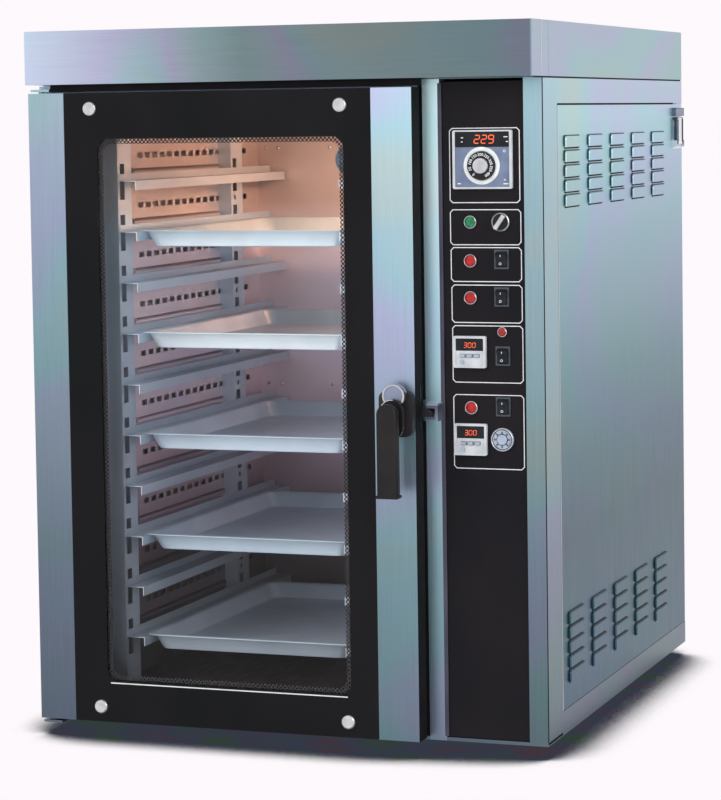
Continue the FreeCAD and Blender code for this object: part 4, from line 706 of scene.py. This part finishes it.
# Painted zones as (left, right, bottom, top).
ZONES = ((300.0, 424.5, 947.0, 1074.0), (300.0, 425.7, 875.8, 936.5),
         (300.5, 426.0, 813.5, 872.5), (301.0, 426.5, 743.9, 809.0),
         (301.5, 427.0, 642.2, 739.9), (302.0, 427.5, 495.3, 622.5))


def make_zone_lines():
    """A thin white line round each group of controls."""
    bm = bmesh.new()
    for x0, x1, z0, z1 in ZONES:
        frame_line(bm, x0, x1, z0, z1, 5.0, 1.5, PANEL_Y)
    make_piece("panel_zone_lines", bm, print_and_reflection_white, "cabinet", "control_black")


CONTROLLER_FACE_Y = -2.6
DISPLAY_Y = -3.2
# Small printed marks as (left, right, bottom): on the display, and on the face below it.
DISPLAY_MARKS = ((323.0, 327.0, 1056.5), (323.0, 326.0, 1049.5), (398.0, 405.0, 1057.5),
                 (402.0, 406.0, 1049.5))
FACE_MARKS = ((398.0, 401.0, 985.0), (397.0, 406.0, 978.5), (316.0, 322.0, 979.0))


def make_controller():
    """Square temperature controller: silver edges, violet-grey face, dark display."""
    bm = bmesh.new()
    ring_slab(bm, (307.8, 412.2, 971.0, 1070.0), (312.2, 407.8, 974.0, 1067.5), 3.0, 1.5, -4.0, 3.0)
    make_piece("controller_frame", bm, frame_grey, "cabinet", "control_black",
               "temperature_controller")
    bm = bmesh.new()
    slab(bm, 312.2, 407.8, 974.0, 1067.5, CONTROLLER_FACE_Y, 3.0, 1.5)
    block(bm, 314.2, 405.8, 3.0, 73.0, 976.7, 1064.3, 2.0)
    make_piece("controller_face", bm, face_grey, "cabinet", "control_black",
               "temperature_controller")
    bm = bmesh.new()
    slab(bm, 312.6, 407.4, 1041.5, 1067.2, DISPLAY_Y, CONTROLLER_FACE_Y, 1.0)
    make_piece("controller_display", bm, gloss_black, "cabinet", "control_black",
               "temperature_controller")
    bm = bmesh.new()
    lit_digits(bm, "229", 363.5, 1054.6, 8.6, 13.4, DISPLAY_Y)
    make_piece("controller_digits", bm, lit_red, "cabinet", "lamp_lenses")
    bm = bmesh.new()
    for x0, x1, z in DISPLAY_MARKS:
        block(bm, x0, x1, DISPLAY_Y - 0.2, DISPLAY_Y, z, z + 1.6)
    for x0, x1, z in FACE_MARKS:
        block(bm, x0, x1, CONTROLLER_FACE_Y - 0.3, CONTROLLER_FACE_Y, z, z + 2.0)
    turned(bm, ((1.3, 0.0), (1.3, 0.3), (2.3, 0.3), (2.3, 0.0)),
           around(399.0, CONTROLLER_FACE_Y, 1034.5, FORWARD), 16)
    make_piece("controller_marks", bm, print_and_reflection_white, "cabinet", "control_black")


DIAL_X = 359.0
DIAL_Z = 1010.0
FIGURE_RADIUS = 18.8
FIGURE_STEP = 35


def make_dial():
    """White ring on the controller; dark skirt, bright knob and figures that turn."""
    bm = bmesh.new()
    turned(bm, ((24.4, 0.0), (24.4, 1.4), (25.4, 2.4), (29.6, 2.4), (31.6, 1.4), (32.0, 0.0)),
           around(DIAL_X, CONTROLLER_FACE_Y, DIAL_Z, FORWARD), 64)
    make_piece("dial_white_ring", bm, print_and_reflection_white, "cabinet", "control_black")
    bm = bmesh.new()
    turned(bm, ((0.01, -4.4), (3.0, -4.4), (3.0, 0.6), (23.6, 0.6), (24.0, 1.2),
                (23.4, 4.1), (14.5, 4.5), (0.01, 4.5)),
           around(DIAL_X, -5.5, DIAL_Z, FORWARD), 64)
    make_piece("dial_skirt", bm, gloss_black, "temperature_dial", "control_black",
               "temperature_dial")
    bm = bmesh.new()
    profile = ((13.5, 0.0), (13.4, 2.6), (12.6, 3.8), (11.2, 4.2), (8.0, 4.0), (0.01, 3.8))
    turned(bm, profile, around(DIAL_X, -10.3, DIAL_Z, FORWARD), 48)
    block(bm, DIAL_X - 0.9, DIAL_X + 0.9, -15.1, -14.0, DIAL_Z + 3.0, DIAL_Z + 12.0, 0.3)
    make_piece("dial_knob", bm, satin_bolt, "temperature_dial", "polished_metal",
               "temperature_dial")
    bm = bmesh.new()
    for index in range(9):
        turn = math.radians(FIGURE_STEP * (index - 4))
        spoke = Vector((math.sin(turn), 0, math.cos(turn)))
        centre = Vector((DIAL_X, -10.1, DIAL_Z)) + spoke * FIGURE_RADIUS
        figures(bm, str(50 * index), front_place(centre.x, centre.y, centre.z, turn), 7.0)
    make_piece("dial_figures", bm, print_and_reflection_white, "temperature_dial", "control_black")


TIMERS = ((334.0, 695.0, "300"), (334.0, 546.0, "300"))


def make_timers():
    """Steam timer and baking timer: silver frame and face, dark window, lit figures."""
    frames = bmesh.new()
    faces = bmesh.new()
    windows = bmesh.new()
    digits = bmesh.new()
    for x, z, value in TIMERS:
        ring_slab(frames, (x - 28.5, x + 28.5, z - 27.0, z + 27.0),
                  (x - 24.5, x + 24.5, z - 23.0, z + 23.0), 2.5, 1.5, -5.0, 3.0)
        block(frames, x - 22.8, x + 22.8, 3.0, 63.0, z - 22.8, z + 22.8, 1.5)
        ring_slab(faces, (x - 24.5, x + 24.5, z - 23.0, z + 2.0),
                  (x - 17.6, x + 17.6, z - 9.6, z - 3.2), 1.0, 0.4, -3.6, 3.0, 2)
        slab(windows, x - 24.5, x + 24.5, z + 2.0, z + 23.0, DISPLAY_Y, 2.0, 1.0)
        slab(windows, x - 17.6, x + 17.6, z - 9.6, z - 3.2, 1.0, 2.2, 0.4)
        lit_digits(digits, value, x, z + 11.6, 5.2, 8.0, DISPLAY_Y)
    make_piece("timer_frames", frames, frame_grey, "cabinet", "instrument_grey", "timers")
    make_piece("timer_faces", faces, frame_grey, "cabinet", "instrument_grey", "timers")
    make_piece("timer_windows", windows, gloss_black, "cabinet", "control_black", "timers")
    make_piece("timer_digits", digits, lit_red, "cabinet", "lamp_lenses")


# Pilot lamps as (x, z, radius); the first is the green one.
LAMPS = ((336.6, 915.0, 11.4), (336.0, 849.5, 11.6), (335.6, 786.8, 11.6),
         (391.0, 729.3, 8.8), (335.0, 600.0, 11.6))


def make_lamps():
    """A bright rim and a domed lens on each pilot lamp."""
    rims = bmesh.new()
    green = bmesh.new()
    red = bmesh.new()
    for index, (x, z, r) in enumerate(LAMPS):
        place = around(x, PANEL_Y, z, FORWARD)
        turned(rims, ((r - 2.4, 0.4), (r - 2.4, 3.2), (r - 1.9, 4.0), (r - 1.3, 3.3),
                      (r - 0.9, 3.3), (r - 0.4, 3.8), (r, 0.0), (6.0, 0.0), (6.0, -26.0),
                      (0.01, -26.0)), place, 40)
        turned(green if index == 0 else red,
               ((r - 2.5, 0.2), (r - 2.6, 3.6), (r * 0.62, 5.0), (r * 0.34, 5.8), (0.01, 6.0)),
               place, 32)
    make_piece("pilot_lamp_rims", rims, polished, "cabinet", "polished_metal", "pilot_lamps")
    make_piece("pilot_lamp_green", green, lens_green, "cabinet", "lamp_lenses", "pilot_lamps")
    make_piece("pilot_lamps_red", red, lens_red, "cabinet", "lamp_lenses", "pilot_lamps")


SELECTOR_AT = (390.2, 915.0)
SELECTOR_TURN = 35


def make_selector():
    """Round base with a bright edge and a slanted wing."""
    x, z = SELECTOR_AT
    bm = bmesh.new()
    turned(bm, ((12.6, 0.8), (13.2, 5.6), (14.6, 6.8), (15.6, 5.8), (16.0, 0.6), (12.6, 0.6)),
           around(x, PANEL_Y, z, FORWARD), 48)
    verts = block(bm, x - 4.0, x + 4.0, -12.0, -4.0, z - 14.6, z + 14.6, 2.2, 3)
    bmesh.ops.rotate(bm, verts=verts, cent=(x, 0, z),
                     matrix=Matrix.Rotation(math.radians(SELECTOR_TURN), 3, "Y"))
    make_piece("selector_wing", bm, satin_bolt, "power_selector", "polished_metal",
               "power_selector")
    bm = bmesh.new()
    turned(bm, ((0.01, -13.0), (4.0, -13.0), (4.0, 0.6), (12.4, 0.6), (12.4, 5.6), (11.0, 6.6),
                (0.01, 6.8)),
           around(x, PANEL_Y, z, FORWARD), 48)
    make_piece("selector_base", bm, gloss_black, "power_selector", "control_black",
               "power_selector")


ROCKERS = {"fan_rocker": (390.8, 852.0), "lamp_rocker": (390.4, 788.5),
           "steam_rocker": (391.4, 688.5), "timer_rocker": (391.0, 602.5)}


def make_rocker_prints():
    """I and O on each rocker, lying on its two slopes."""
    for name, (x, z) in ROCKERS.items():
        bm = bmesh.new()
        block(bm, x - 0.5, x + 0.5, -7.2, -6.6, z + 4.6, z + 8.4)
        turned(bm, ((1.5, 0.3), (2.2, 0.3), (2.2, -0.3), (1.5, -0.3), (1.5, 0.3)),
               around(x, -7.3, z - 7.0, FORWARD), 20)
        make_piece(name + "_marks", bm, print_and_reflection_white, name, "control_black")


BUZZER_AT = (389.4, 546.8)


def make_buzzer():
    """Silver outer ring, a dark groove, and an inner ring outside the sound slots."""
    x, z = BUZZER_AT
    place = around(x, PANEL_Y, z, FORWARD)
    bm = bmesh.new()
    turned(bm, ((17.4, 0.0), (17.5, 4.4), (18.4, 5.2), (19.4, 4.2), (19.6, 0.0)), place, 48)
    turned(bm, ((14.2, 4.0), (14.3, 5.5), (15.2, 6.1), (16.1, 5.5), (16.2, 4.0)), place, 48)
    make_piece("buzzer_rings", bm, polished, "cabinet", "instrument_grey")
    bm = bmesh.new()
    for inner, outer in ((8.8, 10.0), (16.2, 17.4)):
        turned(bm, ((inner, 4.9), (inner, 5.12), (outer, 5.12), (outer, 4.9)), place, 40)
    make_piece("buzzer_grooves", bm, soft_black, "cabinet", "instrument_grey")


# ---- seams and edges that show as thin lines of painted shade, highlight and reflection ---
FRONT_BOTTOM = 31.0
FRONT_TOP = 1150.0
SIDE_SKIN = (464.5, 465.4)
EDGE_SKIN = (464.6, 465.3)
JAMB_GAP = (246.0, 253.6)
KEEPER_SPAN = (575.0, 612.0)


def make_seams():
    """Painted light along the sheets: black strips of painted shade in the gaps, polished strips of
    painted highlight on some edges, a white strip of painted reflection at the opening's edge, and
    a violet strip of painted shade in a groove.
    """
    # Painted shade: black strips in the gaps along the side's front edge, below its top band, under
    # the hood and beside the jamb strip.
    bm = bmesh.new()
    block(bm, *SIDE_SKIN, -0.2, 3.4, FRONT_BOTTOM, 1157.0)
    block(bm, *SIDE_SKIN, 91.0, 925.0, 1110.2, 1113.4)
    block(bm, SIDE_SKIN[0], EDGE_SKIN[1], -50.0, 990.0, 1156.2, 1159.0)
    block(bm, *JAMB_GAP, -0.5, 0.4, FRONT_BOTTOM, KEEPER_SPAN[0])
    block(bm, *JAMB_GAP, -0.5, 0.4, KEEPER_SPAN[1], FRONT_TOP)
    make_piece("gap_shade_strips", bm, soft_black, "cabinet", "seal_rubber")
    # Painted highlight: polished strips along the side panel's front edge and the hood's front
    # corner.
    bm = bmesh.new()
    block(bm, *EDGE_SKIN, 90.6, 93.0, 68.0, 1110.0)
    block(bm, *EDGE_SKIN, -4.0, -0.4, 1160.0, 1252.0)
    make_piece("edge_highlight_strips", bm, polished, "cabinet", "polished_metal")
    # Painted reflection: a white strip down the left edge of the oven's opening.
    bm = bmesh.new()
    block(bm, -345.4, -343.0, -1.2, 1.0, 92.0, 1086.0, 0.4)
    make_piece("opening_edge_reflection", bm, print_and_reflection_white, "cabinet", "stainless_cavity")
    # Painted shade: a dark violet strip in the groove between the jamb strip and the control panel.
    bm = bmesh.new()
    block(bm, 281.0, 287.6, -0.3, 2.6, FRONT_BOTTOM + 2.0, FRONT_TOP)
    make_piece("panel_groove_shade_strip", bm, groove_shade_violet, "cabinet", "panel_black")


LOUVRE_TOPS = (1057.0, 232.0)
LOUVRE_HEIGHT = 19.0
LOUVRE_FIRST_Y = 130.0
LOUVRE_PITCH = (154.0, 25.4)
LOUVRES_EACH_WAY = 5
CREASE_OUT_X = 467.2


def make_louvre_creases():
    """Painted shade: a dark ring round each pressed louvre of the right side, where its crease lies
    in shade.
    """
    bm = bmesh.new()
    for top in LOUVRE_TOPS:
        for column in range(LOUVRES_EACH_WAY):
            for row in range(LOUVRES_EACH_WAY):
                one = bmesh.new()
                ring_slab(one, (-1.8, 99.2, -1.2, 20.8), (0.3, 97.8, 0.3, 19.0), 7.0, 6.0,
                          0.0, 2.3, 2)
                bmesh.ops.rotate(one, verts=one.verts, cent=(0, 0, 0),
                                 matrix=Matrix.Rotation(math.radians(90), 3, "Z"))
                place = (CREASE_OUT_X, LOUVRE_FIRST_Y + LOUVRE_PITCH[0] * column,
                         top - LOUVRE_PITCH[1] * row - LOUVRE_HEIGHT)
                bmesh.ops.translate(one, verts=one.verts, vec=place)
                join(bm, one)
    make_piece("louvre_shade_rings", bm, louvre_crease_shade, "cabinet", "seal_rubber")


# ---- finishes of the pieces that stay as they are -------------------------------------
FINISHED = {
    steel_upright: ("front_posts", "door_stiles"),
    steel_side: ("side_panels",),
    steel_level: ("hood",),
    steel_plain: ("rear_panel", "base_pan", "frame_members", "door_frame", "hinge_brackets",
                  "flue_pipe"),
    cavity_steel: ("cavity_liner", "duct_panels", "fan_guard", "temperature_probe"),
    rack_steel: ("tray_rack", "fan_rotor"),
    polished: ("panel_screws", "levelling_feet"),
    latch_block: ("side_latch_bases",),
    latch_lever: ("side_latch_lever", "left_latch_lever"),
    keeper_steel: ("latch_keeper",),
    dark_steel: ("latch_tongue",),
    motor_grey: ("fan_motor",),
    heater_dark: ("heater_element",),
    brass_body: ("steam_injector", "hinge_bushes"),
    inner_pane: ("inner_glass",),
    lamp_pane: ("lamp_lens",),
    enamel_white: ("cavity_lamp",),
    wool: ("insulation",),
    # The top seal is black rubber, and its black also stands for the shade in the gap under the
    # hood.
    soft_black: ("door_seals", "top_seal"),
    moulded_black: ("cable_gland",),
    case_black: ("latch_case",),
    bezel_grey: ("rocker_housings",),
    hub_blue: ("buzzer",),
    panel_black: ("control_panel",),
    gloss_black: ("fan_rocker", "lamp_rocker", "steam_rocker", "timer_rocker"),
    key_grey: ("steam_timer_keypad", "steam_timer_start_key", "bake_timer_keypad",
               "bake_timer_start_key"),
}


def finish_frame():
    for material, names in FINISHED.items():
        for name in names:
            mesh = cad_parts[name].data
            mesh.materials.clear()
            mesh.materials.append(material)


# ---- room ----------------------------------------------------------------------------
def seen_white(tree, shader_output, lit, seen):
    """Plain light on the object, and the given white wherever it is looked at."""
    path = tree.nodes.new("ShaderNodeLightPath")
    looks = path.outputs["Is Camera Ray"]
    for name in ("Is Glossy Ray", "Is Transmission Ray"):
        either = tree.nodes.new("ShaderNodeMath")
        either.operation = "MAXIMUM"
        tree.links.new(looks, either.inputs[0])
        tree.links.new(path.outputs[name], either.inputs[1])
        looks = either.outputs[0]
    mix = tree.nodes.new("ShaderNodeMixShader")
    tree.links.new(looks, mix.inputs[0])
    tree.links.new(lit, mix.inputs[1])
    tree.links.new(seen, mix.inputs[2])
    tree.links.new(mix.outputs[0], shader_output)


PALE = (0.985, 0.945, 0.975)


FLOOR_SIZE = 14.0
SHADOW_REACH = 0.17


def make_room():
    """A pale world and floor; the floor keeps the soft shadow under the oven."""
    world = bpy.data.worlds.new("room")
    bpy.context.scene.world = world
    world.use_nodes = True
    tree = world.node_tree
    tree.nodes.clear()
    out = tree.nodes.new("ShaderNodeOutputWorld")
    lit = tree.nodes.new("ShaderNodeBackground")
    lit.inputs["Color"].default_value = (0.97, 0.98, 1.0, 1.0)
    lit.inputs["Strength"].default_value = 0.55
    seen = tree.nodes.new("ShaderNodeBackground")
    seen.inputs["Color"].default_value = (*PALE, 1.0)
    seen.inputs["Strength"].default_value = 1.0
    seen_white(tree, out.inputs["Surface"], lit.outputs[0], seen.outputs[0])
    bm = bmesh.new()
    bmesh.ops.create_grid(bm, x_segments=1, y_segments=1, size=FLOOR_SIZE)
    mesh = bpy.data.meshes.new("floor")
    bm.to_mesh(mesh)
    bm.free()
    floor = bpy.data.objects.new("floor", mesh)
    bpy.context.scene.collection.objects.link(floor)
    material, tree, shader = new_finish("floor_pale")
    shader.inputs["Base Color"].default_value = (0.80, 0.79, 0.81, 1.0)
    shader.inputs["Roughness"].default_value = 0.9
    shader.inputs["Specular IOR Level"].default_value = 0.0
    near = tree.nodes.new("ShaderNodeAmbientOcclusion")
    near.inputs["Distance"].default_value = SHADOW_REACH
    fade = tree.nodes.new("ShaderNodeMapRange")
    fade.interpolation_type = "SMOOTHSTEP"
    fade.inputs["From Min"].default_value = 0.55
    fade.inputs["From Max"].default_value = 0.80
    tree.links.new(near.outputs["AO"], fade.inputs["Value"])
    dark = tones(tree, noise(tree, (9.0, 9.0, 9.0), 2.0),
                 ((0.030, 0.050, 0.032), (0.034, 0.040, 0.062), (0.052, 0.034, 0.046)))
    shadow = tree.nodes.new("ShaderNodeMix")
    shadow.data_type = "RGBA"
    shadow.inputs[7].default_value = (*PALE, 1.0)
    tree.links.new(fade.outputs["Result"], shadow.inputs["Factor"])
    tree.links.new(dark, shadow.inputs[6])
    seen = tree.nodes.new("ShaderNodeEmission")
    tree.links.new(shadow.outputs[2], seen.inputs["Color"])
    seen_white(tree, tree.nodes["Material Output"].inputs["Surface"], shader.outputs[0],
               seen.outputs[0])
    mesh.materials.append(material)


def area_lamp(name, place, target, size, power, colour=(1.0, 1.0, 1.0), glossy=True):
    """A rectangular lamp that the camera doesn't see."""
    data = bpy.data.lights.new(name, "AREA")
    data.shape = "RECTANGLE"
    data.size, data.size_y = size
    data.energy = power
    data.color = colour
    lamp = bpy.data.objects.new(name, data)
    lamp.location = place
    lamp.rotation_mode = "QUATERNION"
    lamp.rotation_quaternion = (Vector(target) - Vector(place)).to_track_quat("-Z", "Y")
    lamp.visible_camera = False
    lamp.visible_glossy = glossy
    bpy.context.scene.collection.objects.link(lamp)
    return lamp


def make_lamps_of_the_room():
    area_lamp("front_softbox", (-1.6, -3.6, 2.6), (0, 0, 0.6), (2.4, 2.4), 100,
              glossy=False)
    area_lamp("side_softbox", (3.4, -1.2, 2.2), (0.3, 0, 0.6), (2.0, 2.6), 60)
    area_lamp("oven_light", mm(40, 460, 1078), mm(-60, 640, 760), (0.10, 0.10), 2.4,
              (1.0, 0.62, 0.42))
    area_lamp("window_fill", mm(-100, 4, 600), mm(-100, 700, 600), (0.40, 1.04), 1.0,
              (0.92, 0.96, 1.0))
    area_lamp("wall_fill", mm(150, 330, 600), mm(-345, 330, 600), (0.50, 0.95), 2.2,
              (1.0, 0.94, 0.94))


CAMERA_AT = (1.782, -5.012, 1.0976)
CAMERA_YAW = 20.145
CAMERA_PITCH = -3.729
CAMERA_ROLL = -0.846
FOCAL_PIXELS = 2822.46
CENTRE_PIXEL = (347.74, 299.53)
PHOTO_SIZE = (721, 800)


def make_camera():
    """The photograph's camera, as fitted to the cabinet's straight edges."""
    wide, high = PHOTO_SIZE
    data = bpy.data.cameras.new("camera")
    data.sensor_width = 36.0
    data.lens = FOCAL_PIXELS * data.sensor_width / high
    data.shift_x = (wide / 2 - CENTRE_PIXEL[0]) / high
    data.shift_y = (CENTRE_PIXEL[1] - high / 2) / high
    data.clip_start = 0.1
    data.clip_end = 60.0
    yaw = math.radians(CAMERA_YAW)
    pitch = math.radians(CAMERA_PITCH)
    roll = math.radians(CAMERA_ROLL)
    right = Vector((math.cos(yaw), math.sin(yaw), 0.0))
    ahead = Vector((-math.sin(yaw) * math.cos(pitch), math.cos(yaw) * math.cos(pitch),
                    math.sin(pitch)))
    up = right.cross(ahead)
    across = right * math.cos(roll) + up * math.sin(roll)
    above = up * math.cos(roll) - right * math.sin(roll)
    camera = bpy.data.objects.new("camera", data)
    columns = Matrix((across, above, -ahead)).transposed()
    camera.matrix_world = Matrix.Translation(CAMERA_AT) @ columns.to_4x4()
    bpy.context.scene.collection.objects.link(camera)
    bpy.context.scene.camera = camera


make_door_glass()
make_bolts()
make_grip()
make_handle_disc()
for number, level in enumerate(TRAY_LEVELS):
    make_tray(number + 1, level)
make_air_deflectors()
make_rivets()
make_zone_lines()
make_controller()
make_dial()
make_timers()
make_lamps()
make_selector()
make_rocker_prints()
make_buzzer()
make_seams()
make_louvre_creases()
finish_frame()
make_room()
make_lamps_of_the_room()
make_camera()
bpy.context.scene.view_settings.view_transform = "Standard"
